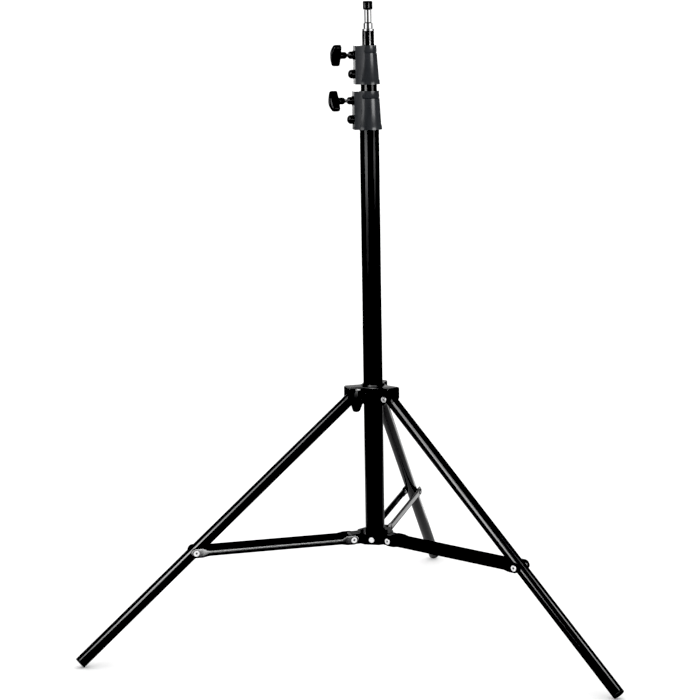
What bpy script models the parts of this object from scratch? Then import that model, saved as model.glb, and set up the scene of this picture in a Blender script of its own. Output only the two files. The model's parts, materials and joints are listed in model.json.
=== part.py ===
"""Three-section light stand on a folding tripod base.

Metres, +Z up. The column stands on its own axis, the legs are spread, both risers are down
and all three locks are tight. The stand's origin is on the floor, at the middle of its footprint.
"""
import math

import bmesh
import bpy
from mathutils import Matrix, Vector

# Tubes
MAIN_DIAMETER = 0.030
MIDDLE_DIAMETER = 0.025
TOP_DIAMETER = 0.0185
LEG_DIAMETER = 0.0185
TUBE_WALL = 0.0012
MAIN_TUBE_LENGTH = 0.6712

# Clearances: between pieces that touch, and round a tube that slides
SEAT_GAP = 0.0003
SLIDE_GAP = 0.0004

# Column and its lower end
GROUND_CLEARANCE = 0.1565
PLUG_HEAD = 0.002
PLUG_SPIGOT = 0.012

# Guide bushes on the lower ends of the risers
BUSH_HEAD = 0.008
BUSH_SPIGOT = 0.012
BUSH_VENT_RADIUS = 0.003

# What still shows of the risers when they are right down
MIDDLE_SHOWING = 0.0097
TOP_SHOWING = 0.021

# Clamp housings on the tube ends
CLAMP_HEIGHT = 0.059
CLAMP_SOCKET = 0.026
CLAMP_FOOT_WALL = 0.0040
CLAMP_TOP_WALL = 0.0031
CLAMP_BAND_HEIGHT = 0.0055
CLAMP_BAND_STEP = 0.0005
CLAMP_GROOVE_DROP = 0.0095
CLAMP_GROOVE_HEIGHT = 0.0010
CLAMP_GROOVE_DEPTH = 0.0005
CLAMP_LUG_REACH = 0.0097
CLAMP_LUG_HALF_WIDTH = 0.0098
CLAMP_LUG_EDGE = 0.0015
CLAMP_LOCK_HEIGHT = 0.0443
CLAMP_BOLT_HEIGHT = 0.0158
CLAMP_AZIMUTH = 193.0

# Cap bolts that hold the clamps on their tubes
BOLT_SHANK_RADIUS = 0.0025
BOLT_CAP_RADIUS = 0.0068
BOLT_CAP_SIDE = 0.0040
BOLT_CAP_HEIGHT = 0.0096

# Locks: a T-knob on a screw that pushes a pad against the tube
LOCK_HOLE_RADIUS = 0.0050
LOCK_TRAVEL = 0.0020
PAD_THICKNESS = 0.0025
SCREW_RADIUS = 0.0030
UPPER_SCREW_SHOWING = 0.0030
LOWER_SCREW_SHOWING = 0.0044
COLLAR_SCREW_SHOWING = 0.0030
SCREW_GRIP = 0.010
NUT_FLANGE_RADIUS = 0.0070
NUT_FLANGE_THICKNESS = 0.0016
NUT_RADIUS = 0.0057
NUT_TIP_RADIUS = 0.0042
NUT_TIP_LENGTH = 0.0027
NUT_LENGTH = 0.0089
KNOB_STEM_RADIUS = 0.0053
KNOB_STEM_TIP_RADIUS = 0.0040
KNOB_STEM_TIP_LENGTH = 0.0022
KNOB_STEM_LENGTH = 0.0090
KNOB_BAR_DEPTH = 0.0156
KNOB_BAR_END_DEPTH = 0.0118
KNOB_BAR_LENGTH = 0.0343
KNOB_BAR_WIDTH = 0.0170
KNOB_BAR_END_WIDTH = 0.0075
KNOB_BAR_TIP_SHRINK = 0.84
KNOB_BAR_CORNER = 0.5
KNOB_BAR_LEVELS = (0.25, 0.65, 0.93, 1.0)
KNOB_DEPTH_FADE = 2.0
KNOB_WIDTH_FADE = 1.5
KNOB_STEM_SINK = 0.0052
UPPER_KNOB_TURN = -30.0
LOWER_KNOB_TURN = 40.0
COLLAR_KNOB_TURN = -7.0

# Stud on the top tube
STUD_FLANGE_RADIUS = 0.0104
STUD_FLANGE_THICKNESS = 0.0033
STUD_BASE_RADIUS = 0.0080
STUD_BASE_HEIGHT = 0.0098
STUD_NECK_RADIUS = 0.00625
STUD_NECK_HEIGHT = 0.0186
STUD_SHOULDER = 0.0015
STUD_TIP_RADIUS = 0.0031
STUD_TIP_LENGTH = 0.009
STUD_SPIGOT = 0.020
STUD_CAP_RADIUS = 0.00725
STUD_CAP_HEIGHT = 0.013
STUD_CAP_EDGE = 0.0018

# Tripod
BACK_LEG_AZIMUTH = 77.4
LEG_SPACING = 120.0
LEG_ANGLE = 49.0
LEG_LENGTH = 0.584
LEG_PIVOT_RADIUS = 0.035
BRACE_SEAT = 0.3404
HUB_PIVOT_RADIUS = 0.039

# Leg collar that slides on the main tube
COLLAR_APOTHEM = 0.0215
COLLAR_REACH = 0.0440
COLLAR_LOBE_HALF_WIDTH = 0.0138
COLLAR_LOBE_CORNER = 0.003
COLLAR_ABOVE_PIVOT = 0.0166
COLLAR_BELOW_PIVOT = 0.0096
COLLAR_EAR_SLOPE = 0.0095
COLLAR_TOP_EDGE = 0.0028
COLLAR_NECK_HEIGHT = 0.0030
COLLAR_NECK_FOOT_WALL = 0.0030
COLLAR_NECK_TOP_WALL = 0.0008
COLLAR_SLOT_GAP = 0.00055
COLLAR_LOCK_AZIMUTH = 243.0
COLLAR_LOCK_REACH = 0.0262
COLLAR_LOCK_RISE = 0.0014
COLLAR_LOCK_BOSS_RADIUS = 0.0085

# Leg tops, pins and feet
EYE_HALF_WIDTH = 0.0088
EYE_TAIL = 0.012
EYE_SPIGOT = 0.022
RIVET_RADIUS = 0.0030
RIVET_HEAD_RADIUS = 0.0050
RIVET_HEAD_THICKNESS = 0.0012
RIVET_BORE_RADIUS = 0.0016
RIVET_BORE_DEPTH = 0.0020
PIN_WASHER_RADIUS = 0.0058
PIN_WASHER_THICKNESS = 0.0006
FOOT_HEAD = 0.0025
FOOT_SPIGOT = 0.018

# Braces: two bars each, flattened round their pins
BAR_PLANE = 0.0127
BAR_HALF_HEIGHT = 0.00625
BAR_HALF_THICKNESS = 0.0025
BAR_END_HALF_HEIGHT = 0.0080
BAR_END_HALF_THICKNESS = 0.0013
BAR_END_STRAIGHT = 0.009
BAR_END_TAPER = 0.012
BAR_CORNER = 0.65
BAR_NOSE_START = 170.0

# Hub at the foot of the column
HUB_HEIGHT = 0.0166
HUB_FLAT_RADIUS = 0.0265
HUB_FLAT_HALF_WIDTH = 0.0115
HUB_ARM_TOP_DROP = 0.0004
HUB_ARM_ROOT_RADIUS = 0.0285
HUB_LUG_INNER = 0.0200
HUB_LUG_OUTER = 0.0235
HUB_LUG_HALF_WIDTH = 0.0032
HUB_LUG_HEIGHT = 0.0045
HUB_SCREW_RADIUS = 0.0024
HUB_SCREW_HEAD_RADIUS = 0.0047
HUB_SCREW_HEAD_THICKNESS = 0.0016
HUB_SCREW_SOCKET_RADIUS = 0.0018
HUB_SCREW_SOCKET_DEPTH = 0.0012

# Facets of round shapes: multiples of four, so that each has a lowest corner
TUBE_STEPS = 32
LEG_STEPS = 24
FITTING_STEPS = 16
RIVET_STEPS = 12
CORNER_STEPS = 3
SMOOTH_ANGLE = 32.0
CUTTING_SCALE = 1000.0
CUTTING_WELD = 1e-4
SAME_PLACE = 1e-6

# What follows from the sizes above
MAIN_RADIUS = MAIN_DIAMETER / 2
MIDDLE_RADIUS = MIDDLE_DIAMETER / 2
TOP_RADIUS = TOP_DIAMETER / 2
LEG_RADIUS = LEG_DIAMETER / 2
LEG_AZIMUTHS = {
    "left": BACK_LEG_AZIMUTH + LEG_SPACING,
    "right": BACK_LEG_AZIMUTH + 2 * LEG_SPACING,
    "back": BACK_LEG_AZIMUTH,
}
LEG_SLOPE = math.radians(90.0 - LEG_ANGLE)

MAIN_TUBE_BOTTOM = GROUND_CLEARANCE + PLUG_HEAD + SEAT_GAP
MAIN_TUBE_TOP = MAIN_TUBE_BOTTOM + MAIN_TUBE_LENGTH
PLUG_TOP = GROUND_CLEARANCE + PLUG_HEAD + PLUG_SPIGOT
LOWER_CLAMP_BOTTOM = MAIN_TUBE_TOP + SEAT_GAP - CLAMP_SOCKET
LOWER_CLAMP_TOP = LOWER_CLAMP_BOTTOM + CLAMP_HEIGHT
UPPER_CLAMP_BOTTOM = LOWER_CLAMP_TOP + MIDDLE_SHOWING
UPPER_CLAMP_TOP = UPPER_CLAMP_BOTTOM + CLAMP_HEIGHT
MIDDLE_BUSH_BOTTOM = PLUG_TOP + SEAT_GAP
MIDDLE_TUBE_BOTTOM = MIDDLE_BUSH_BOTTOM + BUSH_HEAD + SEAT_GAP
MIDDLE_TUBE_TOP = UPPER_CLAMP_BOTTOM + CLAMP_SOCKET - SEAT_GAP
TOP_BUSH_BOTTOM = MIDDLE_BUSH_BOTTOM + BUSH_HEAD + BUSH_SPIGOT + SEAT_GAP
TOP_TUBE_BOTTOM = TOP_BUSH_BOTTOM + BUSH_HEAD + SEAT_GAP
TOP_TUBE_TOP = UPPER_CLAMP_TOP + TOP_SHOWING
STUD_BOTTOM = TOP_TUBE_TOP + SEAT_GAP

LEG_PIVOT_HEIGHT = LEG_LENGTH * math.sin(LEG_SLOPE) + LEG_RADIUS * math.cos(LEG_SLOPE)
HUB_PIVOT_HEIGHT = GROUND_CLEARANCE + HUB_HEIGHT / 2
BRACE_SEAT_RADIUS = LEG_PIVOT_RADIUS + BRACE_SEAT * math.cos(LEG_SLOPE)
BRACE_SEAT_HEIGHT = LEG_PIVOT_HEIGHT - BRACE_SEAT * math.sin(LEG_SLOPE)
BRACE_RUN = BRACE_SEAT_RADIUS - HUB_PIVOT_RADIUS
BRACE_RISE = BRACE_SEAT_HEIGHT - HUB_PIVOT_HEIGHT
BRACE_LENGTH = math.hypot(BRACE_RUN, BRACE_RISE)
BRACE_SLOPE = math.atan2(BRACE_RISE, BRACE_RUN)
BAR_END_INNER = BAR_PLANE - BAR_END_HALF_THICKNESS
BAR_END_OUTER = BAR_PLANE + BAR_END_HALF_THICKNESS
HUB_ARM_HALF_WIDTH = BAR_END_INNER - SEAT_GAP
HUB_ARM_HALF_HEIGHT = HUB_HEIGHT / 2 - HUB_ARM_TOP_DROP
COLLAR_SLOT_HALF_WIDTH = LEG_RADIUS + COLLAR_SLOT_GAP
COLLAR_SLOT_INNER = LEG_PIVOT_RADIUS - LEG_RADIUS - COLLAR_SLOT_GAP
COLLAR_SLOT_CEILING = LEG_RADIUS + COLLAR_SLOT_GAP

MATERIALS = {
    "gloss_black": ((0.012, 0.012, 0.013), 0.18, 0.0),
    "satin_black": ((0.018, 0.018, 0.019), 0.42, 0.0),
    "dark_grey": ((0.075, 0.080, 0.085), 0.48, 0.0),
    "soft_black": ((0.025, 0.025, 0.026), 0.70, 0.0),
    "natural_white": ((0.62, 0.61, 0.57), 0.45, 0.0),
    "chrome": ((0.72, 0.72, 0.73), 0.10, 1.0),
    "zinc": ((0.60, 0.60, 0.61), 0.28, 1.0),
}


def clear_scene():
    for old in list(bpy.data.objects):
        bpy.data.objects.remove(old, do_unlink=True)


def finish(name):
    """The named finish as a material, made once."""
    found = bpy.data.materials.get(name)
    if found:
        return found
    colour, roughness, metallic = MATERIALS[name]
    made = bpy.data.materials.new(name)
    made.use_nodes = True
    shader = made.node_tree.nodes["Principled BSDF"]
    shader.inputs["Base Color"].default_value = (*colour, 1.0)
    shader.inputs["Roughness"].default_value = roughness
    shader.inputs["Metallic"].default_value = metallic
    made.diffuse_color = (*colour, 1.0)
    return made


def frame(name, parent=None, location=(0.0, 0.0, 0.0), azimuth=0.0, tilt=0.0):
    """An empty turned by azimuth about Z, then tipped by tilt about its own Y, in radians."""
    empty = bpy.data.objects.new(name, None)
    bpy.context.scene.collection.objects.link(empty)
    empty.parent = parent
    turn = Matrix.Rotation(azimuth, 4, "Z") @ Matrix.Rotation(tilt, 4, "Y")
    empty.matrix_local = Matrix.Translation(location) @ turn
    return empty


def scratch(shape):
    """A temporary object that holds a bmesh, at the cutting scale."""
    mesh = bpy.data.meshes.new("scratch")
    moved(shape, Matrix.Scale(CUTTING_SCALE, 4)).to_mesh(mesh)
    shape.free()
    holder = bpy.data.objects.new("scratch", mesh)
    bpy.context.scene.collection.objects.link(holder)
    return holder


def combined(shape, other, operation):
    """One boolean step on two bmesh shapes, worked at the cutting scale."""
    body, tool = scratch(shape), scratch(other)
    modifier = body.modifiers.new(operation, "BOOLEAN")
    modifier.operation = operation
    modifier.solver = "EXACT"
    modifier.object = tool
    evaluated = body.evaluated_get(bpy.context.evaluated_depsgraph_get())
    result = bmesh.new()
    result.from_mesh(evaluated.to_mesh())
    evaluated.to_mesh_clear()
    for done in (body, tool):
        mesh = done.data
        bpy.data.objects.remove(done, do_unlink=True)
        bpy.data.meshes.remove(mesh)
    bmesh.ops.dissolve_degenerate(result, dist=CUTTING_WELD, edges=result.edges)
    return moved(result, Matrix.Scale(1.0 / CUTTING_SCALE, 4))


def carve(shape, added=(), removed=()):
    """The bmesh shape with others joined to it, then others cut out of it."""
    for form in added:
        shape = combined(shape, form, "UNION")
    for form in removed:
        shape = combined(shape, form, "DIFFERENCE")
    return shape


def piece(name, shape, surface, parent):
    """A finished sub-part: the bmesh shape, in its parent's frame."""
    mesh = bpy.data.meshes.new(name)
    shape.to_mesh(mesh)
    shape.free()
    mesh.shade_smooth()
    mesh.set_sharp_from_angle(angle=math.radians(SMOOTH_ANGLE))
    mesh.materials.append(finish(surface))
    made = bpy.data.objects.new(name, mesh)
    bpy.context.scene.collection.objects.link(made)
    made.parent = parent


def joined(shapes):
    """Several bodies that don't meet, in one bmesh."""
    whole = bmesh.new()
    for shape in shapes:
        mesh = bpy.data.meshes.new("body")
        shape.to_mesh(mesh)
        shape.free()
        whole.from_mesh(mesh)
        bpy.data.meshes.remove(mesh)
    return whole


def moved(shape, matrix):
    bmesh.ops.transform(shape, matrix=matrix, verts=shape.verts)
    return shape


def lay_along_x(shape):
    """Turns a shape made about Z so that it lies about X."""
    return moved(shape, Matrix.Rotation(math.pi / 2, 4, "Y"))


def lay_along_y(shape):
    """Turns a shape made about Z so that it lies about Y."""
    return moved(shape, Matrix.Rotation(-math.pi / 2, 4, "X"))


def turned(profile, steps=FITTING_STEPS):
    """A solid turned about Z from (radius, height) points.

    The outline closes on the axis where its ends lie there, and otherwise on itself.
    """
    shape = bmesh.new()
    points = [shape.verts.new((radius, 0.0, height)) for radius, height in profile]
    pairs = list(zip(points, points[1:]))
    if profile[0][0] > 0.0:
        pairs.append((points[-1], points[0]))
    edges = [shape.edges.new(pair) for pair in pairs]
    bmesh.ops.spin(
        shape,
        geom=points + edges,
        axis=(0.0, 0.0, 1.0),
        cent=(0.0, 0.0, 0.0),
        angle=math.tau,
        steps=steps,
        use_merge=True,
    )
    bmesh.ops.remove_doubles(shape, verts=shape.verts, dist=SAME_PLACE)
    bmesh.ops.recalc_face_normals(shape, faces=shape.faces)
    return shape


def rod(radius, low, high, steps=FITTING_STEPS):
    return turned([(0.0, low), (radius, low), (radius, high), (0.0, high)], steps)


def pipe(inner, outer, low, high, steps=TUBE_STEPS):
    return turned([(inner, low), (outer, low), (outer, high), (inner, high)], steps)


def prism(outline, low, high):
    """A prism of (x, y) points between two heights."""
    shape = bmesh.new()
    base = shape.faces.new([shape.verts.new((x, y, low)) for x, y in outline])
    grown = bmesh.ops.extrude_face_region(shape, geom=[base])
    lifted = [item for item in grown["geom"] if isinstance(item, bmesh.types.BMVert)]
    bmesh.ops.translate(shape, verts=lifted, vec=(0.0, 0.0, high - low))
    bmesh.ops.recalc_face_normals(shape, faces=shape.faces)
    return shape


def block(low, high):
    """A box between two corners."""
    outline = [(low[0], low[1]), (high[0], low[1]), (high[0], high[1]), (low[0], high[1])]
    return prism(outline, low[2], high[2])


def lofted(rings):
    """A closed skin over rings of points, each with as many points."""
    shape = bmesh.new()
    loops = [[shape.verts.new(point) for point in ring] for ring in rings]
    for first, second in zip(loops, loops[1:]):
        for index in range(len(first)):
            after = (index + 1) % len(first)
            shape.faces.new((first[index], first[after], second[after], second[index]))
    shape.faces.new(loops[0])
    shape.faces.new(loops[-1])
    bmesh.ops.recalc_face_normals(shape, faces=shape.faces)
    return shape


def arc(centre, radius, start, end, steps=CORNER_STEPS):
    """Points on an arc, with its angles in degrees."""
    points = []
    for index in range(steps + 1):
        angle = math.radians(start + (end - start) * index / steps)
        points.append((centre[0] + radius * math.cos(angle), centre[1] + radius * math.sin(angle)))
    return points


def rounded_ring(half_a, half_b, corner_share):
    """Eight points round a rectangle with cut corners, centred on zero."""
    cut = min(half_a, half_b) * corner_share
    quarter = [(half_a, half_b - cut), (half_a - cut, half_b)]
    ring = list(quarter)
    ring += [(-x, y) for x, y in reversed(quarter)]
    ring += [(-x, -y) for x, y in quarter]
    ring += [(x, -y) for x, y in reversed(quarter)]
    return ring


def soften(shape, chosen, width, segments=2):
    """Rounds the edges that a test picks."""
    edges = [edge for edge in shape.edges if chosen(edge)]
    bmesh.ops.bevel(
        shape,
        geom=edges,
        offset=width,
        offset_type="OFFSET",
        segments=segments,
        profile=0.5,
        affect="EDGES",
        clamp_overlap=True,
    )
    return shape


def is_upright(edge):
    run = edge.verts[1].co - edge.verts[0].co
    return math.hypot(run.x, run.y) < SAME_PLACE


def is_at_height(edge, height):
    return all(abs(vert.co.z - height) < SAME_PLACE for vert in edge.verts)


def around(azimuth_degrees):
    return Matrix.Rotation(math.radians(azimuth_degrees), 4, "Z")


# Column and risers


def make_column(origin):
    inner = MAIN_RADIUS - TUBE_WALL
    tube = pipe(inner, MAIN_RADIUS, MAIN_TUBE_BOTTOM, MAIN_TUBE_TOP)
    piece("main_tube", tube, "gloss_black", origin)
    head_top = GROUND_CLEARANCE + PLUG_HEAD
    plug = turned([
        (0.0, GROUND_CLEARANCE),
        (MAIN_RADIUS, GROUND_CLEARANCE),
        (MAIN_RADIUS, head_top),
        (inner - SEAT_GAP, head_top),
        (inner - SEAT_GAP, PLUG_TOP),
        (0.0, PLUG_TOP),
    ], TUBE_STEPS)
    piece("column_plug", plug, "soft_black", origin)


def make_guide_bush(name, origin, bottom, outer_bore, tube_bore):
    """A bush whose head slides in the tube outside and whose spigot plugs the riser."""
    head = outer_bore - SLIDE_GAP
    spigot = tube_bore - SEAT_GAP
    head_top = bottom + BUSH_HEAD
    bush = turned([
        (BUSH_VENT_RADIUS, bottom),
        (head, bottom),
        (head, head_top),
        (spigot, head_top),
        (spigot, head_top + BUSH_SPIGOT),
        (BUSH_VENT_RADIUS, head_top + BUSH_SPIGOT),
    ], LEG_STEPS)
    piece(name, bush, "natural_white", origin)


def make_middle_riser(origin):
    inner = MIDDLE_RADIUS - TUBE_WALL
    make_guide_bush("middle_guide_bush", origin, MIDDLE_BUSH_BOTTOM, MAIN_RADIUS - TUBE_WALL, inner)
    tube = pipe(inner, MIDDLE_RADIUS, MIDDLE_TUBE_BOTTOM, MIDDLE_TUBE_TOP)
    piece("middle_tube", tube, "gloss_black", origin)


def make_top_riser(origin):
    inner = TOP_RADIUS - TUBE_WALL
    make_guide_bush("top_guide_bush", origin, TOP_BUSH_BOTTOM, MIDDLE_RADIUS - TUBE_WALL, inner)
    tube = pipe(inner, TOP_RADIUS, TOP_TUBE_BOTTOM, TOP_TUBE_TOP)
    piece("top_tube", tube, "gloss_black", origin)
    make_stud(origin, inner - SEAT_GAP)


def make_stud(origin, spigot):
    flange_top = STUD_BOTTOM + STUD_FLANGE_THICKNESS
    base_top = flange_top + STUD_BASE_HEIGHT
    neck_top = base_top + STUD_NECK_HEIGHT
    stud = turned([
        (0.0, STUD_BOTTOM - STUD_SPIGOT),
        (spigot, STUD_BOTTOM - STUD_SPIGOT),
        (spigot, STUD_BOTTOM),
        (STUD_FLANGE_RADIUS, STUD_BOTTOM),
        (STUD_FLANGE_RADIUS, flange_top),
        (STUD_BASE_RADIUS, flange_top),
        (STUD_BASE_RADIUS, base_top - STUD_SHOULDER),
        (STUD_NECK_RADIUS, base_top),
        (STUD_NECK_RADIUS, neck_top),
        (STUD_TIP_RADIUS, neck_top),
        (STUD_TIP_RADIUS, neck_top + STUD_TIP_LENGTH),
        (0.0, neck_top + STUD_TIP_LENGTH),
    ], LEG_STEPS)
    piece("stud", stud, "chrome", origin)
    bottom = neck_top + SEAT_GAP
    top = neck_top + STUD_CAP_HEIGHT
    hole = STUD_TIP_RADIUS + SEAT_GAP
    hole_top = neck_top + STUD_TIP_LENGTH + SEAT_GAP
    edge_centre = (STUD_CAP_RADIUS - STUD_CAP_EDGE, top - STUD_CAP_EDGE)
    profile = [(0.0, hole_top), (hole, hole_top), (hole, bottom), (STUD_CAP_RADIUS, bottom)]
    profile += arc(edge_centre, STUD_CAP_EDGE, 0.0, 90.0)
    profile.append((0.0, top))
    piece("stud_cap", turned(profile, LEG_STEPS), "gloss_black", origin)


# Clamps and locks


def make_clamp(prefix, origin, bottom, outer_radius, inner_radius, showing, knob_turn):
    """A housing pushed over the end of one tube, which guides and locks the next."""
    seat = frame(prefix + "_clamp_frame", origin, (0.0, 0.0, bottom), math.radians(CLAMP_AZIMUTH))
    reach = outer_radius + CLAMP_LUG_REACH
    foot = outer_radius + CLAMP_FOOT_WALL
    crown = inner_radius + CLAMP_TOP_WALL
    groove_top = CLAMP_HEIGHT - CLAMP_GROOVE_DROP
    groove_bottom = groove_top - CLAMP_GROOVE_HEIGHT

    def sleeve_radius(height):
        return foot + (crown - foot) * height / CLAMP_HEIGHT

    sleeve = turned([
        (0.0, 0.0),
        (foot + CLAMP_BAND_STEP, 0.0),
        (sleeve_radius(CLAMP_BAND_HEIGHT) + CLAMP_BAND_STEP, CLAMP_BAND_HEIGHT),
        (sleeve_radius(CLAMP_BAND_HEIGHT), CLAMP_BAND_HEIGHT),
        (sleeve_radius(groove_bottom), groove_bottom),
        (sleeve_radius(groove_bottom) - CLAMP_GROOVE_DEPTH, groove_bottom),
        (sleeve_radius(groove_top) - CLAMP_GROOVE_DEPTH, groove_top),
        (sleeve_radius(groove_top), groove_top),
        (crown, CLAMP_HEIGHT),
        (0.0, CLAMP_HEIGHT),
    ], TUBE_STEPS)
    lug = block(
        (0.0, -CLAMP_LUG_HALF_WIDTH, SEAT_GAP),
        (reach, CLAMP_LUG_HALF_WIDTH, CLAMP_HEIGHT - SEAT_GAP),
    )
    soften(lug, lambda edge: is_upright(edge) and edge.verts[0].co.x > outer_radius, CLAMP_LUG_EDGE)
    socket = outer_radius + SEAT_GAP
    bore = inner_radius + SLIDE_GAP
    over = CLAMP_LUG_EDGE
    hollow = turned([
        (0.0, -over),
        (socket, -over),
        (socket, CLAMP_SOCKET),
        (bore, CLAMP_SOCKET),
        (bore, CLAMP_HEIGHT + over),
        (0.0, CLAMP_HEIGHT + over),
    ], TUBE_STEPS)
    lock_hole = lay_along_x(rod(LOCK_HOLE_RADIUS, inner_radius / 2, reach + over))
    moved(lock_hole, Matrix.Translation((0.0, 0.0, CLAMP_LOCK_HEIGHT)))
    bolt_hole = lay_along_x(rod(BOLT_SHANK_RADIUS + SEAT_GAP, outer_radius / 2, reach + over))
    moved(bolt_hole, Matrix.Translation((0.0, 0.0, CLAMP_BOLT_HEIGHT)))
    housing = carve(sleeve, [lug], [hollow, lock_hole, bolt_hole])
    piece(prefix + "_clamp", housing, "dark_grey", seat)
    make_cap_bolt(prefix, seat, outer_radius + SEAT_GAP, reach + SEAT_GAP)
    axis = frame(prefix + "_lock_axis", seat, (0.0, 0.0, CLAMP_LOCK_HEIGHT))
    make_lock(prefix, axis, inner_radius, reach, showing, knob_turn)


def make_cap_bolt(prefix, seat, shank_end, head_seat):
    dome = []
    dome_height = BOLT_CAP_HEIGHT - BOLT_CAP_SIDE
    for index in range(CORNER_STEPS + 1):
        angle = math.pi / 2 * index / CORNER_STEPS
        height = head_seat + BOLT_CAP_SIDE + dome_height * math.sin(angle)
        dome.append((BOLT_CAP_RADIUS * math.cos(angle), height))
    dome[-1] = (0.0, head_seat + BOLT_CAP_HEIGHT)
    bolt = turned([
        (0.0, shank_end),
        (BOLT_SHANK_RADIUS, shank_end),
        (BOLT_SHANK_RADIUS, head_seat),
        (BOLT_CAP_RADIUS, head_seat),
    ] + dome)
    moved(lay_along_x(bolt), Matrix.Translation((0.0, 0.0, CLAMP_BOLT_HEIGHT)))
    piece(prefix + "_cap_bolt", bolt, "satin_black", seat)


def make_lock(prefix, axis, tube_radius, reach, showing, knob_turn):
    """Pad, threaded nut, screw and T-knob along the local X of the lock's axis."""
    pad_front = tube_radius + SEAT_GAP
    pad_back = pad_front + PAD_THICKNESS
    pad_radius = LOCK_HOLE_RADIUS - SLIDE_GAP
    pad = lay_along_x(rod(pad_radius, pad_front, pad_back))
    piece(prefix + "_lock_pad", pad, "natural_white", axis)

    nut_seat = reach + SEAT_GAP
    nut_end = nut_seat + NUT_LENGTH
    spigot_end = pad_back + LOCK_TRAVEL + SLIDE_GAP
    spigot = LOCK_HOLE_RADIUS - SEAT_GAP
    thread = SCREW_RADIUS + SEAT_GAP
    nut = turned([
        (thread, spigot_end),
        (spigot, spigot_end),
        (spigot, nut_seat),
        (NUT_FLANGE_RADIUS, nut_seat),
        (NUT_FLANGE_RADIUS, nut_seat + NUT_FLANGE_THICKNESS),
        (NUT_RADIUS, nut_seat + NUT_FLANGE_THICKNESS),
        (NUT_RADIUS, nut_end - NUT_TIP_LENGTH),
        (NUT_TIP_RADIUS, nut_end),
        (thread, nut_end),
    ])
    piece(prefix + "_lock_nut", lay_along_x(nut), "satin_black", axis)

    stem_tip = nut_end + showing
    screw_end = stem_tip + SCREW_GRIP
    screw = lay_along_x(rod(SCREW_RADIUS, pad_back + SEAT_GAP, screw_end))
    piece(prefix + "_lock_screw", screw, "chrome", axis)
    make_knob(prefix, axis, stem_tip, screw_end, knob_turn)


def knob_ring(bar_start, share):
    """The T-bar's outline at a share of the way from its middle to its tip."""
    depth = KNOB_BAR_DEPTH + (KNOB_BAR_END_DEPTH - KNOB_BAR_DEPTH) * abs(share) ** KNOB_DEPTH_FADE
    width = KNOB_BAR_WIDTH + (KNOB_BAR_END_WIDTH - KNOB_BAR_WIDTH) * abs(share) ** KNOB_WIDTH_FADE
    size = KNOB_BAR_TIP_SHRINK if abs(share) == KNOB_BAR_LEVELS[-1] else 1.0
    ring = rounded_ring(depth / 2 * size, width / 2 * size, KNOB_BAR_CORNER)
    height = share * KNOB_BAR_LENGTH / 2
    return [(bar_start + depth / 2 + x, y, height) for x, y in ring]


def make_knob(prefix, axis, stem_tip, screw_end, knob_turn):
    bar_start = stem_tip + KNOB_STEM_LENGTH
    levels = [-share for share in reversed(KNOB_BAR_LEVELS)] + list(KNOB_BAR_LEVELS)
    bar = lofted([knob_ring(bar_start, share) for share in levels])
    stem = lay_along_x(turned([
        (0.0, stem_tip),
        (KNOB_STEM_TIP_RADIUS, stem_tip),
        (KNOB_STEM_RADIUS, stem_tip + KNOB_STEM_TIP_LENGTH),
        (KNOB_STEM_RADIUS, bar_start + KNOB_STEM_SINK),
        (0.0, bar_start + KNOB_STEM_SINK),
    ]))
    hole = rod(SCREW_RADIUS + SEAT_GAP, stem_tip - SEAT_GAP, screw_end + SEAT_GAP)
    knob = carve(bar, [stem], [lay_along_x(hole)])
    moved(knob, Matrix.Rotation(math.radians(knob_turn), 4, "X"))
    piece(prefix + "_lock_knob", knob, "satin_black", axis)


# Tripod


def collar_outline():
    """Plan of the collar: a hexagon with a wide arm over each leg."""
    half_spacing = math.radians(LEG_SPACING / 2)
    root = COLLAR_APOTHEM - COLLAR_LOBE_HALF_WIDTH * math.sin(half_spacing)
    root /= math.cos(half_spacing)
    corner_x = COLLAR_REACH - COLLAR_LOBE_CORNER
    corner_y = COLLAR_LOBE_HALF_WIDTH - COLLAR_LOBE_CORNER
    lobe = [(root, -COLLAR_LOBE_HALF_WIDTH)]
    lobe += arc((corner_x, -corner_y), COLLAR_LOBE_CORNER, -90.0, 0.0)
    lobe += arc((corner_x, corner_y), COLLAR_LOBE_CORNER, 0.0, 90.0)
    lobe.append((root, COLLAR_LOBE_HALF_WIDTH))
    outline = []
    for azimuth in sorted(LEG_AZIMUTHS.values()):
        turn = around(azimuth)
        outline += [tuple((turn @ Vector((x, y, 0.0))).xy) for x, y in lobe]
    return outline


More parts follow.
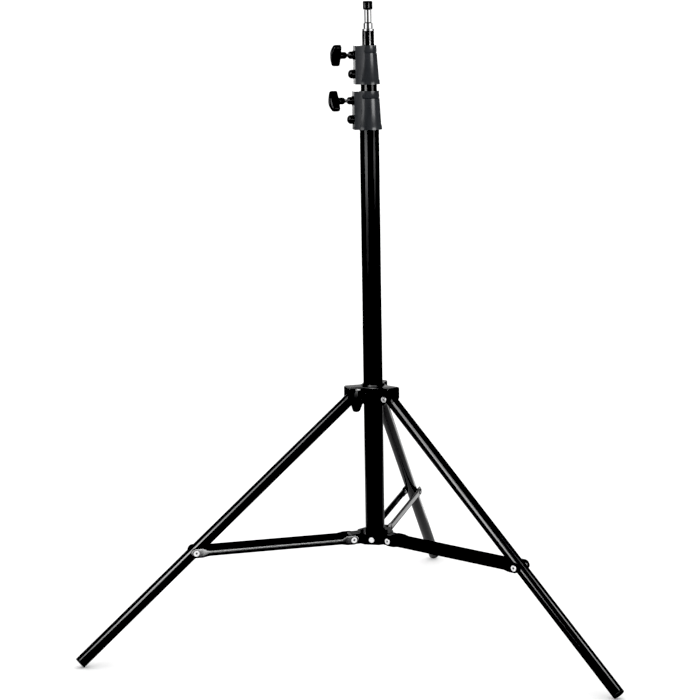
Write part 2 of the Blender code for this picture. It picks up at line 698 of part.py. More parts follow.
def make_collar(seat):
    """The sliding collar, modelled with the leg pivots at height zero."""
    bottom, top = -COLLAR_BELOW_PIVOT, COLLAR_ABOVE_PIVOT
    body = prism(collar_outline(), bottom, top)
    soften(body, lambda edge: is_at_height(edge, top), COLLAR_TOP_EDGE, 3)
    bore = MAIN_RADIUS + SLIDE_GAP
    neck = turned([
        (0.0, 0.0),
        (bore + COLLAR_NECK_FOOT_WALL, 0.0),
        (bore + COLLAR_NECK_FOOT_WALL, top),
        (bore + COLLAR_NECK_TOP_WALL, top + COLLAR_NECK_HEIGHT),
        (0.0, top + COLLAR_NECK_HEIGHT),
    ], TUBE_STEPS)
    over = 2 * COLLAR_NECK_HEIGHT
    hollow = rod(bore, bottom - over, top + over, TUBE_STEPS)
    slots, slopes, pin_holes = [], [], []
    for azimuth in LEG_AZIMUTHS.values():
        slot = block(
            (COLLAR_SLOT_INNER, -COLLAR_SLOT_HALF_WIDTH, bottom - over),
            (COLLAR_REACH + over, COLLAR_SLOT_HALF_WIDTH, COLLAR_SLOT_CEILING),
        )
        slots.append(moved(slot, around(azimuth)))
        slope_start = COLLAR_REACH - COLLAR_EAR_SLOPE
        side = [
            (slope_start, bottom),
            (slope_start, bottom - over),
            (COLLAR_REACH + over, bottom - over),
            (COLLAR_REACH + over, bottom + COLLAR_EAR_SLOPE + over),
        ]
        width = COLLAR_LOBE_HALF_WIDTH + over
        slope = moved(prism(side, -width, width), Matrix.Rotation(math.pi / 2, 4, "X"))
        slopes.append(moved(slope, around(azimuth)))
        pin_hole = lay_along_y(rod(RIVET_RADIUS + SEAT_GAP, -width, width))
        moved(pin_hole, Matrix.Translation((LEG_PIVOT_RADIUS, 0.0, 0.0)))
        pin_holes.append(moved(pin_hole, around(azimuth)))
    lock_turn = Matrix.Translation((0.0, 0.0, COLLAR_LOCK_RISE)) @ around(COLLAR_LOCK_AZIMUTH)
    boss = lay_along_x(rod(COLLAR_LOCK_BOSS_RADIUS, MAIN_RADIUS, COLLAR_LOCK_REACH))
    moved(boss, lock_turn)
    lock_hole = rod(LOCK_HOLE_RADIUS, MAIN_RADIUS / 2, COLLAR_LOCK_REACH + over)
    moved(lay_along_x(lock_hole), lock_turn)
    cuts = [hollow, joined(slots), joined(slopes), joined(pin_holes), lock_hole]
    collar = carve(body, [neck, boss], cuts)
    piece("leg_collar", collar, "gloss_black", seat)
    turn = math.radians(COLLAR_LOCK_AZIMUTH)
    axis = frame("collar_lock_axis", seat, (0.0, 0.0, COLLAR_LOCK_RISE), turn)
    make_lock(
        "collar", axis, MAIN_RADIUS, COLLAR_LOCK_REACH, COLLAR_SCREW_SHOWING, COLLAR_KNOB_TURN,
    )


def make_rivet(length):
    """A rivet along Y with two hollow-ended heads, over the given length."""
    half = length / 2
    neck = half - RIVET_HEAD_THICKNESS
    floor = half - RIVET_BORE_DEPTH
    upper = [
        (RIVET_RADIUS, neck),
        (RIVET_HEAD_RADIUS, neck),
        (RIVET_HEAD_RADIUS, half),
        (RIVET_BORE_RADIUS, half),
        (RIVET_BORE_RADIUS, floor),
        (0.0, floor),
    ]
    lower = [(radius, -height) for radius, height in reversed(upper)]
    return lay_along_y(turned(lower + upper, RIVET_STEPS))


def make_collar_rivets(seat):
    length = 2 * (COLLAR_LOBE_HALF_WIDTH + SEAT_GAP + RIVET_HEAD_THICKNESS)
    for name, azimuth in LEG_AZIMUTHS.items():
        rivet = moved(make_rivet(length), Matrix.Translation((LEG_PIVOT_RADIUS, 0.0, 0.0)))
        piece(name + "_collar_rivet", moved(rivet, around(azimuth)), "zinc", seat)


def make_leg(name, azimuth, seat):
    """One leg along the local X of its hinge, which is the local Y."""
    turn = math.radians(azimuth)
    place = (LEG_PIVOT_RADIUS * math.cos(turn), LEG_PIVOT_RADIUS * math.sin(turn), 0.0)
    hinge = frame(name + "_leg_hinge", seat, place, turn, LEG_SLOPE)
    bore = LEG_RADIUS - TUBE_WALL
    make_leg_eye(name, hinge, bore - SEAT_GAP)
    tube_end = LEG_LENGTH - FOOT_HEAD - SEAT_GAP
    tube = lay_along_x(pipe(bore, LEG_RADIUS, EYE_TAIL + SEAT_GAP, tube_end, LEG_STEPS))
    pin_hole = lay_along_y(rod(RIVET_RADIUS + SEAT_GAP, -LEG_DIAMETER, LEG_DIAMETER))
    moved(pin_hole, Matrix.Translation((BRACE_SEAT, 0.0, 0.0)))
    piece(name + "_leg_tube", carve(tube, removed=[pin_hole]), "gloss_black", hinge)

    washer_in = LEG_RADIUS + SEAT_GAP
    washer_out = washer_in + PIN_WASHER_THICKNESS
    pin = lay_along_y(turned([
        (0.0, -washer_out),
        (PIN_WASHER_RADIUS, -washer_out),
        (PIN_WASHER_RADIUS, -washer_in),
        (RIVET_RADIUS, -washer_in),
        (RIVET_RADIUS, washer_in),
        (PIN_WASHER_RADIUS, washer_in),
        (PIN_WASHER_RADIUS, washer_out),
        (0.0, washer_out),
    ], RIVET_STEPS))
    moved(pin, Matrix.Translation((BRACE_SEAT, 0.0, 0.0)))
    piece(name + "_leg_pin", pin, "zinc", hinge)

    head_start = LEG_LENGTH - FOOT_HEAD
    foot = lay_along_x(turned([
        (0.0, head_start - FOOT_SPIGOT),
        (bore - SEAT_GAP, head_start - FOOT_SPIGOT),
        (bore - SEAT_GAP, head_start),
        (LEG_RADIUS, head_start),
        (LEG_RADIUS, LEG_LENGTH),
        (0.0, LEG_LENGTH),
    ], LEG_STEPS))
    piece(name + "_foot", foot, "soft_black", hinge)


def make_leg_eye(name, hinge, spigot_radius):
    """The round-nosed block on top of a leg, which turns on the collar's rivet."""
    outline = arc((0.0, 0.0), LEG_RADIUS, 90.0, 270.0, 4 * CORNER_STEPS)
    outline += [(EYE_TAIL, -LEG_RADIUS), (EYE_TAIL, LEG_RADIUS)]
    nose = moved(
        prism(outline, -EYE_HALF_WIDTH, EYE_HALF_WIDTH),
        Matrix.Rotation(math.pi / 2, 4, "X"),
    )
    barrel = lay_along_x(rod(LEG_RADIUS, -LEG_DIAMETER, LEG_DIAMETER, LEG_STEPS))
    spigot = lay_along_x(rod(spigot_radius, EYE_TAIL / 2, EYE_TAIL + EYE_SPIGOT))
    hole = lay_along_y(rod(RIVET_RADIUS + SEAT_GAP, -LEG_DIAMETER, LEG_DIAMETER))
    eye = carve(combined(nose, barrel, "INTERSECT"), [spigot], [hole])
    piece(name + "_leg_eye", eye, "satin_black", hinge)


def bar_shape():
    """A brace bar along X from pin to pin, in the plane of its own middle."""
    end_rings = []
    for x, height in arc((0.0, 0.0), BAR_END_HALF_HEIGHT, BAR_NOSE_START, 90.0):
        end_rings.append((x, height, BAR_END_HALF_THICKNESS))
    end_rings.append((BAR_END_STRAIGHT, BAR_END_HALF_HEIGHT, BAR_END_HALF_THICKNESS))
    end_rings.append((BAR_END_STRAIGHT + BAR_END_TAPER, BAR_HALF_HEIGHT, BAR_HALF_THICKNESS))
    far_rings = [(BRACE_LENGTH - x, height, thickness) for x, height, thickness in reversed(end_rings)]
    rings = []
    for x, half_height, half_thickness in end_rings + far_rings:
        ring = rounded_ring(half_thickness, half_height, BAR_CORNER)
        rings.append([(x, y, z) for y, z in ring])
    holes = []
    for x in (0.0, BRACE_LENGTH):
        hole = lay_along_y(rod(RIVET_RADIUS + SEAT_GAP, -BAR_PLANE, BAR_PLANE))
        holes.append(moved(hole, Matrix.Translation((x, 0.0, 0.0))))
    return carve(lofted(rings), removed=holes)


def make_brace(name, azimuth, origin):
    """Two bars that run from the hub's arm to the leg, and their rivets at the leg."""
    turn = math.radians(azimuth)
    place = (HUB_PIVOT_RADIUS * math.cos(turn), HUB_PIVOT_RADIUS * math.sin(turn), HUB_PIVOT_HEIGHT)
    hinge = frame(name + "_brace_hinge", origin, place, turn, -BRACE_SLOPE)
    for side, sign in (("a", -1.0), ("b", 1.0)):
        bar = moved(bar_shape(), Matrix.Translation((0.0, sign * BAR_PLANE, 0.0)))
        piece(name + "_brace_bar_" + side, bar, "gloss_black", hinge)
    washer_start = LEG_RADIUS + 2 * SEAT_GAP + PIN_WASHER_THICKNESS
    washer_end = BAR_END_INNER - SEAT_GAP
    head_start = BAR_END_OUTER + SEAT_GAP
    head_end = head_start + RIVET_HEAD_THICKNESS
    for side, sign in (("a", -1.0), ("b", 1.0)):
        rivet = turned([
            (0.0, washer_start),
            (PIN_WASHER_RADIUS, washer_start),
            (PIN_WASHER_RADIUS, washer_end),
            (RIVET_RADIUS, washer_end),
            (RIVET_RADIUS, head_start),
            (RIVET_HEAD_RADIUS, head_start),
            (RIVET_HEAD_RADIUS, head_end),
            (RIVET_BORE_RADIUS, head_end),
            (RIVET_BORE_RADIUS, head_end - RIVET_BORE_DEPTH),
            (0.0, head_end - RIVET_BORE_DEPTH),
        ], RIVET_STEPS)
        moved(rivet, Matrix.Rotation(-sign * math.pi / 2, 4, "X"))
        moved(rivet, Matrix.Translation((BRACE_LENGTH, 0.0, 0.0)))
        piece(name + "_brace_rivet_" + side, rivet, "zinc", hinge)


def hub_outline():
    """Plan of the hub's middle: three flats with a sloping shoulder to each arm."""
    corners = []
    for azimuth in sorted(LEG_AZIMUTHS.values()):
        arm = around(azimuth)
        flat = around(azimuth + LEG_SPACING / 2)
        corners.append(arm @ Vector((HUB_ARM_ROOT_RADIUS, -HUB_ARM_HALF_WIDTH / 2, 0.0)))
        corners.append(arm @ Vector((HUB_ARM_ROOT_RADIUS, HUB_ARM_HALF_WIDTH / 2, 0.0)))
        corners.append(flat @ Vector((HUB_FLAT_RADIUS, -HUB_FLAT_HALF_WIDTH, 0.0)))
        corners.append(flat @ Vector((HUB_FLAT_RADIUS, HUB_FLAT_HALF_WIDTH, 0.0)))
    return [tuple(corner.xy) for corner in corners]


def make_hub(origin):
    """The casting at the column's foot, modelled with its pivots at height zero."""
    seat = frame("hub_frame", origin, (0.0, 0.0, HUB_PIVOT_HEIGHT))
    half = HUB_HEIGHT / 2
    middle = prism(hub_outline(), -half, half)
    arms, pin_holes, lugs, screw_holes = [], [], [], []
    over = HUB_LUG_HEIGHT
    rivet_length = 2 * (BAR_END_OUTER + SEAT_GAP + RIVET_HEAD_THICKNESS)
    for name, azimuth in LEG_AZIMUTHS.items():
        side = arc((HUB_PIVOT_RADIUS, 0.0), HUB_ARM_HALF_HEIGHT, -90.0, 90.0, 2 * CORNER_STEPS)
        side += [(MAIN_RADIUS, HUB_ARM_HALF_HEIGHT), (MAIN_RADIUS, -HUB_ARM_HALF_HEIGHT)]
        arm = prism(side, -HUB_ARM_HALF_WIDTH, HUB_ARM_HALF_WIDTH)
        arms.append(moved(moved(arm, Matrix.Rotation(math.pi / 2, 4, "X")), around(azimuth)))
        pin_hole = lay_along_y(rod(RIVET_RADIUS + SEAT_GAP, -BAR_PLANE, BAR_PLANE))
        moved(pin_hole, Matrix.Translation((HUB_PIVOT_RADIUS, 0.0, 0.0)))
        pin_holes.append(moved(pin_hole, around(azimuth)))
        lug = block(
            (HUB_LUG_INNER, -HUB_LUG_HALF_WIDTH, 0.0),
            (HUB_LUG_OUTER, HUB_LUG_HALF_WIDTH, half + HUB_LUG_HEIGHT),
        )
        lugs.append(moved(lug, around(azimuth)))
        flat = around(azimuth + LEG_SPACING / 2)
        hole = rod(HUB_SCREW_RADIUS + SEAT_GAP, MAIN_RADIUS / 2, HUB_FLAT_RADIUS + over)
        screw_holes.append(moved(lay_along_x(hole), flat))
        piece(name + "_hub_screw", moved(hub_screw(), flat), "zinc", seat)
        rivet = moved(make_rivet(rivet_length), Matrix.Translation((HUB_PIVOT_RADIUS, 0.0, 0.0)))
        piece(name + "_hub_rivet", moved(rivet, around(azimuth)), "zinc", seat)
    hollow = rod(MAIN_RADIUS + SEAT_GAP, -half - over, half + over, TUBE_STEPS)
    hub = carve(middle, arms + lugs, [hollow] + pin_holes + screw_holes)
    piece("hub", hub, "gloss_black", seat)


def hub_screw():
    """A fixing screw along X, from the column's wall to its head on the hub's flat."""
    tip = MAIN_RADIUS + SEAT_GAP
    head_seat = HUB_FLAT_RADIUS + SEAT_GAP
    head_end = head_seat + HUB_SCREW_HEAD_THICKNESS
    return lay_along_x(turned([
        (0.0, tip),
        (HUB_SCREW_RADIUS, tip),
        (HUB_SCREW_RADIUS, head_seat),
        (HUB_SCREW_HEAD_RADIUS, head_seat),
        (HUB_SCREW_HEAD_RADIUS, head_end - HUB_SCREW_HEAD_THICKNESS / 2),
        (HUB_SCREW_HEAD_RADIUS - HUB_SCREW_HEAD_THICKNESS / 2, head_end),
        (HUB_SCREW_SOCKET_RADIUS, head_end),
        (HUB_SCREW_SOCKET_RADIUS, head_end - HUB_SCREW_SOCKET_DEPTH),
        (0.0, head_end - HUB_SCREW_SOCKET_DEPTH),
    ], RIVET_STEPS))


def settle(origin):
    """Moves the stand so that its footprint's middle, on the floor, is at zero."""
    bpy.context.view_layer.update()
    corners = []
    for thing in bpy.context.scene.objects:
        if thing.type == "MESH":
            corners += [thing.matrix_world @ vert.co for vert in thing.data.vertices]
    middle_x = (min(c.x for c in corners) + max(c.x for c in corners)) / 2
    middle_y = (min(c.y for c in corners) + max(c.y for c in corners)) / 2
    floor = min(c.z for c in corners)
    origin.location = (-middle_x, -middle_y, -floor)
    bpy.context.view_layer.update()


def main():
    clear_scene()
    origin = frame("stand_origin")
    make_column(origin)
    make_clamp(
        "lower", origin, LOWER_CLAMP_BOTTOM,
        MAIN_RADIUS, MIDDLE_RADIUS, LOWER_SCREW_SHOWING, LOWER_KNOB_TURN,
    )
    make_middle_riser(origin)
    make_clamp(
        "upper", origin, UPPER_CLAMP_BOTTOM,
        MIDDLE_RADIUS, TOP_RADIUS, UPPER_SCREW_SHOWING, UPPER_KNOB_TURN,
    )
    make_top_riser(origin)
    make_hub(origin)
    collar_seat = frame("collar_frame", origin, (0.0, 0.0, LEG_PIVOT_HEIGHT))
    make_collar(collar_seat)
    make_collar_rivets(collar_seat)
    for name, azimuth in LEG_AZIMUTHS.items():
        make_leg(name, azimuth, collar_seat)
        make_brace(name, azimuth, origin)
    settle(origin)


main()
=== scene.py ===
"""The light stand dressed for its picture: smooth tubes, moulded clamps, threads and light.

Metres, +Z up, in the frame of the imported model.
"""
import json
import math

import bmesh
import bpy
from mathutils import Matrix, Vector

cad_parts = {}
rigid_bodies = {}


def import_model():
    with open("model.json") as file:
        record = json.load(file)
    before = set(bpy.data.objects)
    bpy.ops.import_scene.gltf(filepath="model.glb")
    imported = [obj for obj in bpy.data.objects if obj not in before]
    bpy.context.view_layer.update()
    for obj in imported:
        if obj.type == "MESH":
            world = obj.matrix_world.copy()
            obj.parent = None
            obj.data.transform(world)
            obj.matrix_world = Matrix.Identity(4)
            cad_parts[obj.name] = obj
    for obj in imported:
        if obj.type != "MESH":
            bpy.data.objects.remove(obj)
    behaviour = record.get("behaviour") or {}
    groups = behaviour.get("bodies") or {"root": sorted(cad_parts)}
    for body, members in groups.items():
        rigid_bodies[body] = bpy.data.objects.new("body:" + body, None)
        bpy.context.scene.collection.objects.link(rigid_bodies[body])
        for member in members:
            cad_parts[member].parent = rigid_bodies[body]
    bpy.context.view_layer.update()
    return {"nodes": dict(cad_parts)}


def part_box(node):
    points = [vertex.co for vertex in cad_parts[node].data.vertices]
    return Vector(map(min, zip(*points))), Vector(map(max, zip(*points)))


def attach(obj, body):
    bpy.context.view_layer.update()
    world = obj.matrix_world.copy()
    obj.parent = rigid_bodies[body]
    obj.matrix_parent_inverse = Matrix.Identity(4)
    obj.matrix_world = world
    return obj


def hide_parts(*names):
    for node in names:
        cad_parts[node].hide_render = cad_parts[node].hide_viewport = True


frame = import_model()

# Column, tubes and the gaps between parts
AXIS_X = 0.051262
AXIS_Y = -0.070281
MAIN_RADIUS = 0.015
MIDDLE_RADIUS = 0.0125
TOP_RADIUS = 0.00925
LEG_RADIUS = 0.00925
TUBE_WALL = 0.0012
SEAT_GAP = 0.0003
SLIDE_GAP = 0.0004

# Stud and its cap
STUD_SPIGOT = 0.020
STUD_FLANGE_RADIUS = 0.0104
STUD_FLANGE_HEIGHT = 0.0033
STUD_BASE_RADIUS = 0.0080
STUD_BASE_HEIGHT = 0.0098
STUD_BASE_SLOPE = 0.0015
STUD_NECK_RADIUS = 0.00625
STUD_NECK_HEIGHT = 0.0186
STUD_TIP_RADIUS = 0.0031
STUD_TIP_HEIGHT = 0.009
STUD_CAP_RADIUS = 0.00725
STUD_CAP_HEIGHT = 0.013
STUD_CAP_RIM = 0.0018

# Clamp housings
CLAMP_AZIMUTH = 193.0
CLAMP_HEIGHT = 0.059
CLAMP_SOCKET = 0.026
CLAMP_FOOT_WALL = 0.0040
CLAMP_TOP_WALL = 0.0031
CLAMP_BAND_HEIGHT = 0.0055
CLAMP_BAND_STEP = 0.0008
CLAMP_BAND_SLOPE = 0.0018
CLAMP_GROOVE_DROP = 0.0095
CLAMP_GROOVE_HEIGHT = 0.0022
CLAMP_GROOVE_DEPTH = 0.0011
CLAMP_LUG_REACH = 0.0097
CLAMP_LUG_HALF_WIDTH = 0.0098
CLAMP_LUG_EDGE = 0.0015
CLAMP_LUG_EDGE_STEPS = 5
CLAMP_LOCK_HEIGHT = 0.0443
CLAMP_BOLT_HEIGHT = 0.0158
CLAMP_CHAMFER = 0.00035

# Cap bolts and locks
BOLT_SHANK_RADIUS = 0.0025
BOLT_CAP_RADIUS = 0.0068
BOLT_CAP_SIDE = 0.0040
BOLT_CAP_HEIGHT = 0.0096
BOLT_DOME_STEPS = 12
LOCK_HOLE_RADIUS = 0.0050
LOCK_TRAVEL = 0.0020
PAD_THICKNESS = 0.0025
SCREW_RADIUS = 0.0030
THREAD_DEPTH = 0.00055
THREAD_PITCH = 0.001
THREAD_SIDES = 40
THREAD_RINGS_PER_PITCH = 8
SCREW_GRIP = 0.010
NUT_FLANGE_RADIUS = 0.0070
NUT_FLANGE_THICKNESS = 0.0016
NUT_RADIUS = 0.0057
NUT_TIP_RADIUS = 0.0042
NUT_TIP_LENGTH = 0.0027
NUT_LENGTH = 0.0089
KNOB_STEM_RADIUS = 0.0053
KNOB_STEM_TIP_RADIUS = 0.0040
KNOB_STEM_TIP_LENGTH = 0.0022
KNOB_STEM_LENGTH = 0.0090
KNOB_STEM_SINK = 0.0052
KNOB_BAR_DEPTH = 0.0156
KNOB_BAR_END_DEPTH = 0.0118
KNOB_BAR_LENGTH = 0.0343
KNOB_BAR_WIDTH = 0.0170
KNOB_BAR_END_WIDTH = 0.0075
KNOB_DEPTH_FADE = 2.0
KNOB_WIDTH_FADE = 1.5
KNOB_LEVELS = 28
KNOB_SIDES = 40
KNOB_TIP_ROUND = 0.10
KNOB_TIP_SHRINK = 0.2
KNOB_SQUARENESS = 4.0
KNOB_CHAMFER = 0.0005

# How much of each lock's screw shows between nut and knob, and how far its knob is turned
LOWER_LOCK_SHOWING = 0.0044
UPPER_LOCK_SHOWING = 0.0030
COLLAR_LOCK_SHOWING = 0.0030
LOWER_KNOB_TURN = 40.0
UPPER_KNOB_TURN = -30.0
COLLAR_KNOB_TURN = -7.0

# Collar
COLLAR_APOTHEM = 0.0215
COLLAR_REACH = 0.0440
COLLAR_LOBE_HALF_WIDTH = 0.0138
COLLAR_LOBE_CORNER = 0.003
COLLAR_CORNER_STEPS = 6
COLLAR_ABOVE_PIVOT = 0.0166
COLLAR_BELOW_PIVOT = 0.0096
COLLAR_EAR_SLOPE = 0.0095
COLLAR_TOP_EDGE = 0.0028
COLLAR_TOP_EDGE_STEPS = 6
COLLAR_NECK_HEIGHT = 0.0030
COLLAR_NECK_FOOT_WALL = 0.0030
COLLAR_NECK_TOP_WALL = 0.0008
COLLAR_SLOT_GAP = 0.00055
COLLAR_LOCK_AZIMUTH = 243.0
COLLAR_LOCK_REACH = 0.0262
COLLAR_LOCK_RISE = 0.0014
COLLAR_LOCK_BOSS_RADIUS = 0.0085
COLLAR_CHAMFER = 0.0004

# Legs, rivets and pins
LEG_PIVOT_RADIUS = 0.035
LEG_PIVOT_HEIGHT = 0.39012
LEG_SLOPE = math.radians(41.0)
LEG_LENGTH = 0.584
BRACE_SEAT = 0.3404
EYE_HALF_WIDTH = 0.0088
EYE_TAIL = 0.012
EYE_SPIGOT = 0.022
EYE_NOSE_STEPS = 32
EYE_CHAMFER = 0.0004
FOOT_HEAD = 0.0025
FOOT_SPIGOT = 0.018
RIVET_RADIUS = 0.0030
RIVET_HEAD_RADIUS = 0.0050
RIVET_HEAD_THICKNESS = 0.0012
RIVET_BORE_RADIUS = 0.0016
RIVET_BORE_DEPTH = 0.0020
PIN_WASHER_RADIUS = 0.0058
PIN_WASHER_THICKNESS = 0.0006

# Braces
BAR_PLANE = 0.0127
BAR_HALF_HEIGHT = 0.00625
BAR_HALF_THICKNESS = 0.0025
BAR_END_HALF_HEIGHT = 0.0080
BAR_END_HALF_THICKNESS = 0.0013
BAR_END_STRAIGHT = 0.009
BAR_END_TAPER = 0.012
BAR_END_STEPS = 14
BAR_END_START = 178.0  # degrees: at 180 the bar's first ring would have no height
BAR_TAPER_STEPS = 8
BAR_SQUARENESS = 2.6
BAR_END_SQUARENESS = 6.0
BAR_SIDES = 32

# Hub
HUB_PIVOT_RADIUS = 0.039
HUB_PIVOT_HEIGHT = 0.1648
HUB_HEIGHT = 0.0166
HUB_FLAT_RADIUS = 0.0265
HUB_FLAT_HALF_WIDTH = 0.0115
HUB_ARM_TOP_DROP = 0.0004
HUB_ARM_ROOT_RADIUS = 0.0285
HUB_ARM_END_STEPS = 24
HUB_LUG_INNER = 0.0200
HUB_LUG_OUTER = 0.0235
HUB_LUG_HALF_WIDTH = 0.0032
HUB_LUG_HEIGHT = 0.0045
HUB_SCREW_RADIUS = 0.0024
HUB_SCREW_HEAD_RADIUS = 0.0047
HUB_SCREW_HEAD_THICKNESS = 0.0016
HUB_SCREW_RIM = 0.0004
HUB_SCREW_SOCKET_RADIUS = 0.0018
HUB_SCREW_SOCKET_DEPTH = 0.0012
HUB_SCREW_SOCKET_SIDES = 6
HUB_CHAMFER = 0.0005

# Where the three legs point
LEG_SPACING = 120.0
BACK_LEG_AZIMUTH = 77.4
LEG_AZIMUTHS = {
    "left": BACK_LEG_AZIMUTH + LEG_SPACING,
    "right": BACK_LEG_AZIMUTH + 2 * LEG_SPACING,
    "back": BACK_LEG_AZIMUTH,
}

# How finely round shapes are drawn
TUBE_STEPS = 128
CASTING_STEPS = 96
FITTING_STEPS = 64
STEM_STEPS = 48
HOLE_STEPS = 32
RIM_STEPS = 4
CHAMFER_STEPS = 3

# Rims of turned shapes, the share of a side that a rim may take, and the least bend for one
FINE_RIM = 0.0002
SMALL_RIM = 0.0003
SOFT_RIM = 0.0005
RIM_LIMIT = 0.45
LEAST_BEND = math.radians(15.0)

# The bend from which an edge is shaded sharp and chamfered
SHARP_ANGLE = math.radians(38.0)

# Points closer than this are one point
SAME_PLACE = 1e-6

# Boolean cuts are worked at a larger scale, and slivers below this size there are dissolved
CUTTING_SCALE = 1000.0
SLIVER = 1e-4

# Room
FLOOR_HALF_WIDTH = 40.0
FLOOR_COLOUR = (0.93, 0.93, 0.93)
WORLD_STRENGTH = 1.35
WORLD_GLOSSY_STRENGTH = 0.06
RING_DISTANCE = 0.5
RING_LOW = 0.70
RING_HIGH = 1.40
RING_RADIANCE = 1.3

# Camera: lens and sensor in millimetres, place in metres from the column's axis and the floor,
# turns in radians
CAMERA_SENSOR = 36.0
CAMERA_LENS = 117.63
CAMERA_X = 0.00429
CAMERA_Y = -3.49737
CAMERA_Z = 1.08869
CAMERA_PAN = 0.01124
CAMERA_TILT_DOWN = 0.17721
CAMERA_ROLL = -0.01613
CAMERA_REACH = 100.0

# Tones
BLACK_LEVEL = 0.020

ORIGIN = Matrix.Translation((AXIS_X, AXIS_Y, 0.0))
HALF_TURN = math.pi
QUARTER_TURN = math.pi / 2


# Shapes


def turn_z(degrees):
    return Matrix.Rotation(math.radians(degrees), 4, "Z")


def lift(height):
    return Matrix.Translation((0.0, 0.0, height))


def moved(shape, matrix):
    bmesh.ops.transform(shape, matrix=matrix, verts=shape.verts)
    return shape


def along_x(shape):
    return moved(shape, Matrix.Rotation(QUARTER_TURN, 4, "Y"))


def along_y(shape):
    return moved(shape, Matrix.Rotation(-QUARTER_TURN, 4, "X"))


def upright(shape):
    """Stands a prism up, so that its outline lies in XZ."""
    return moved(shape, Matrix.Rotation(QUARTER_TURN, 4, "X"))


def rounded(profile, radius, closed):
    """The outline with each corner off the axis turned into a small curve."""
    points = [Vector(point) for point in profile]
    count = len(points)
    result = []
    for index, here in enumerate(points):
        on_end = not closed and index in (0, count - 1)
        if on_end or radius == 0.0:
            result.append(here)
            continue
        before, after = points[index - 1], points[(index + 1) % count]
        back, forth = before - here, after - here
        if back.length < SAME_PLACE or forth.length < SAME_PLACE:
            result.append(here)
            continue
        bend = HALF_TURN - back.angle(forth)
        if bend < LEAST_BEND:
            result.append(here)
            continue
        reach = min(radius * math.tan(bend / 2), back.length * RIM_LIMIT, forth.length * RIM_LIMIT)
        start, end = here + back.normalized() * reach, here + forth.normalized() * reach
        for step in range(RIM_STEPS + 1):
            share = step / RIM_STEPS
            inner = start.lerp(here, share).lerp(here.lerp(end, share), share)
            result.append(inner)
    return [tuple(point) for point in result]


def turned(profile, steps=FITTING_STEPS, rim=FINE_RIM):
    """A solid turned about Z from (radius, height) points, with its rims rounded."""
    closed = profile[0][0] > 0.0
    outline = rounded(profile, rim, closed)
    shape = bmesh.new()
    rings = []
    for radius, height in outline:
        if radius < SAME_PLACE:
            rings.append([shape.verts.new((0.0, 0.0, height))])
            continue
        ring = []
        for step in range(steps):
            angle = math.tau * step / steps
            ring.append(shape.verts.new((
                radius * math.cos(angle), radius * math.sin(angle), height,
            )))
        rings.append(ring)
    pairs = list(zip(rings, rings[1:]))
    if closed:
        pairs.append((rings[-1], rings[0]))
    for first, second in pairs:
        for step in range(steps):
            after = (step + 1) % steps
            corners = [
                first[step % len(first)], first[after % len(first)],
                second[after % len(second)], second[step % len(second)],
            ]
            corners = list(dict.fromkeys(corners))
            if len(corners) > 2:
                shape.faces.new(corners)
    bmesh.ops.recalc_face_normals(shape, faces=shape.faces)
    return shape


def rod(radius, low, high, steps=FITTING_STEPS, rim=0.0):
    return turned([(0.0, low), (radius, low), (radius, high), (0.0, high)], steps, rim)


def prism(outline, low, high):
    shape = bmesh.new()
    base = shape.faces.new([shape.verts.new((x, y, low)) for x, y in outline])
    grown = bmesh.ops.extrude_face_region(shape, geom=[base])
    lifted = [item for item in grown["geom"] if isinstance(item, bmesh.types.BMVert)]
    bmesh.ops.translate(shape, verts=lifted, vec=(0.0, 0.0, high - low))
    bmesh.ops.recalc_face_normals(shape, faces=shape.faces)
    return shape


def block(low, high):
    outline = [(low[0], low[1]), (high[0], low[1]), (high[0], high[1]), (low[0], high[1])]
    return prism(outline, low[2], high[2])


def lofted(rings):
    """A solid through rings of equally many points, closed at both ends."""
    shape = bmesh.new()
    loops = [[shape.verts.new(point) for point in ring] for ring in rings]
    for first, second in zip(loops, loops[1:]):
        for index in range(len(first)):
            after = (index + 1) % len(first)
            shape.faces.new((first[index], first[after], second[after], second[index]))
    shape.faces.new(loops[0])
    shape.faces.new(loops[-1])
    bmesh.ops.recalc_face_normals(shape, faces=shape.faces)
    return shape


def arc(centre, radius, start, end, steps):
    points = []
    for index in range(steps + 1):
        angle = math.radians(start + (end - start) * index / steps)
        points.append((centre[0] + radius * math.cos(angle), centre[1] + radius * math.sin(angle)))
    return points


def oval(half_a, half_b, power, sides):
    """Points round a rounded rectangle: a power of 2 gives an ellipse, and more a squarer form."""
    ring = []
    for step in range(sides):
        angle = math.tau * (step + 0.5) / sides
        cos, sin = math.cos(angle), math.sin(angle)
        ring.append((
            half_a * math.copysign(abs(cos) ** (2 / power), cos),
            half_b * math.copysign(abs(sin) ** (2 / power), sin),
        ))
    return ring


def scratch(shape):
    """A temporary object that takes over the shape, at the cutting scale."""
    mesh = bpy.data.meshes.new("scratch")
    moved(shape, Matrix.Scale(CUTTING_SCALE, 4)).to_mesh(mesh)
    shape.free()
    holder = bpy.data.objects.new("scratch", mesh)
    bpy.context.scene.collection.objects.link(holder)
    return holder


def combined(shape, other, operation):
    """One boolean step on two shapes, worked at a larger scale."""
    body, tool = scratch(shape), scratch(other)
    modifier = body.modifiers.new(operation, "BOOLEAN")
    modifier.operation = operation
    modifier.solver = "EXACT"
    modifier.object = tool
    evaluated = body.evaluated_get(bpy.context.evaluated_depsgraph_get())
    result = bmesh.new()
    result.from_mesh(evaluated.to_mesh())
    evaluated.to_mesh_clear()
    for done in (body, tool):
        mesh = done.data
        bpy.data.objects.remove(done, do_unlink=True)
        bpy.data.meshes.remove(mesh)
    bmesh.ops.dissolve_degenerate(result, dist=SLIVER, edges=result.edges)
    return moved(result, Matrix.Scale(1.0 / CUTTING_SCALE, 4))


def carve(shape, added, removed):
    for form in added:
        shape = combined(shape, form, "UNION")
    for form in removed:
        shape = combined(shape, form, "DIFFERENCE")
    return shape


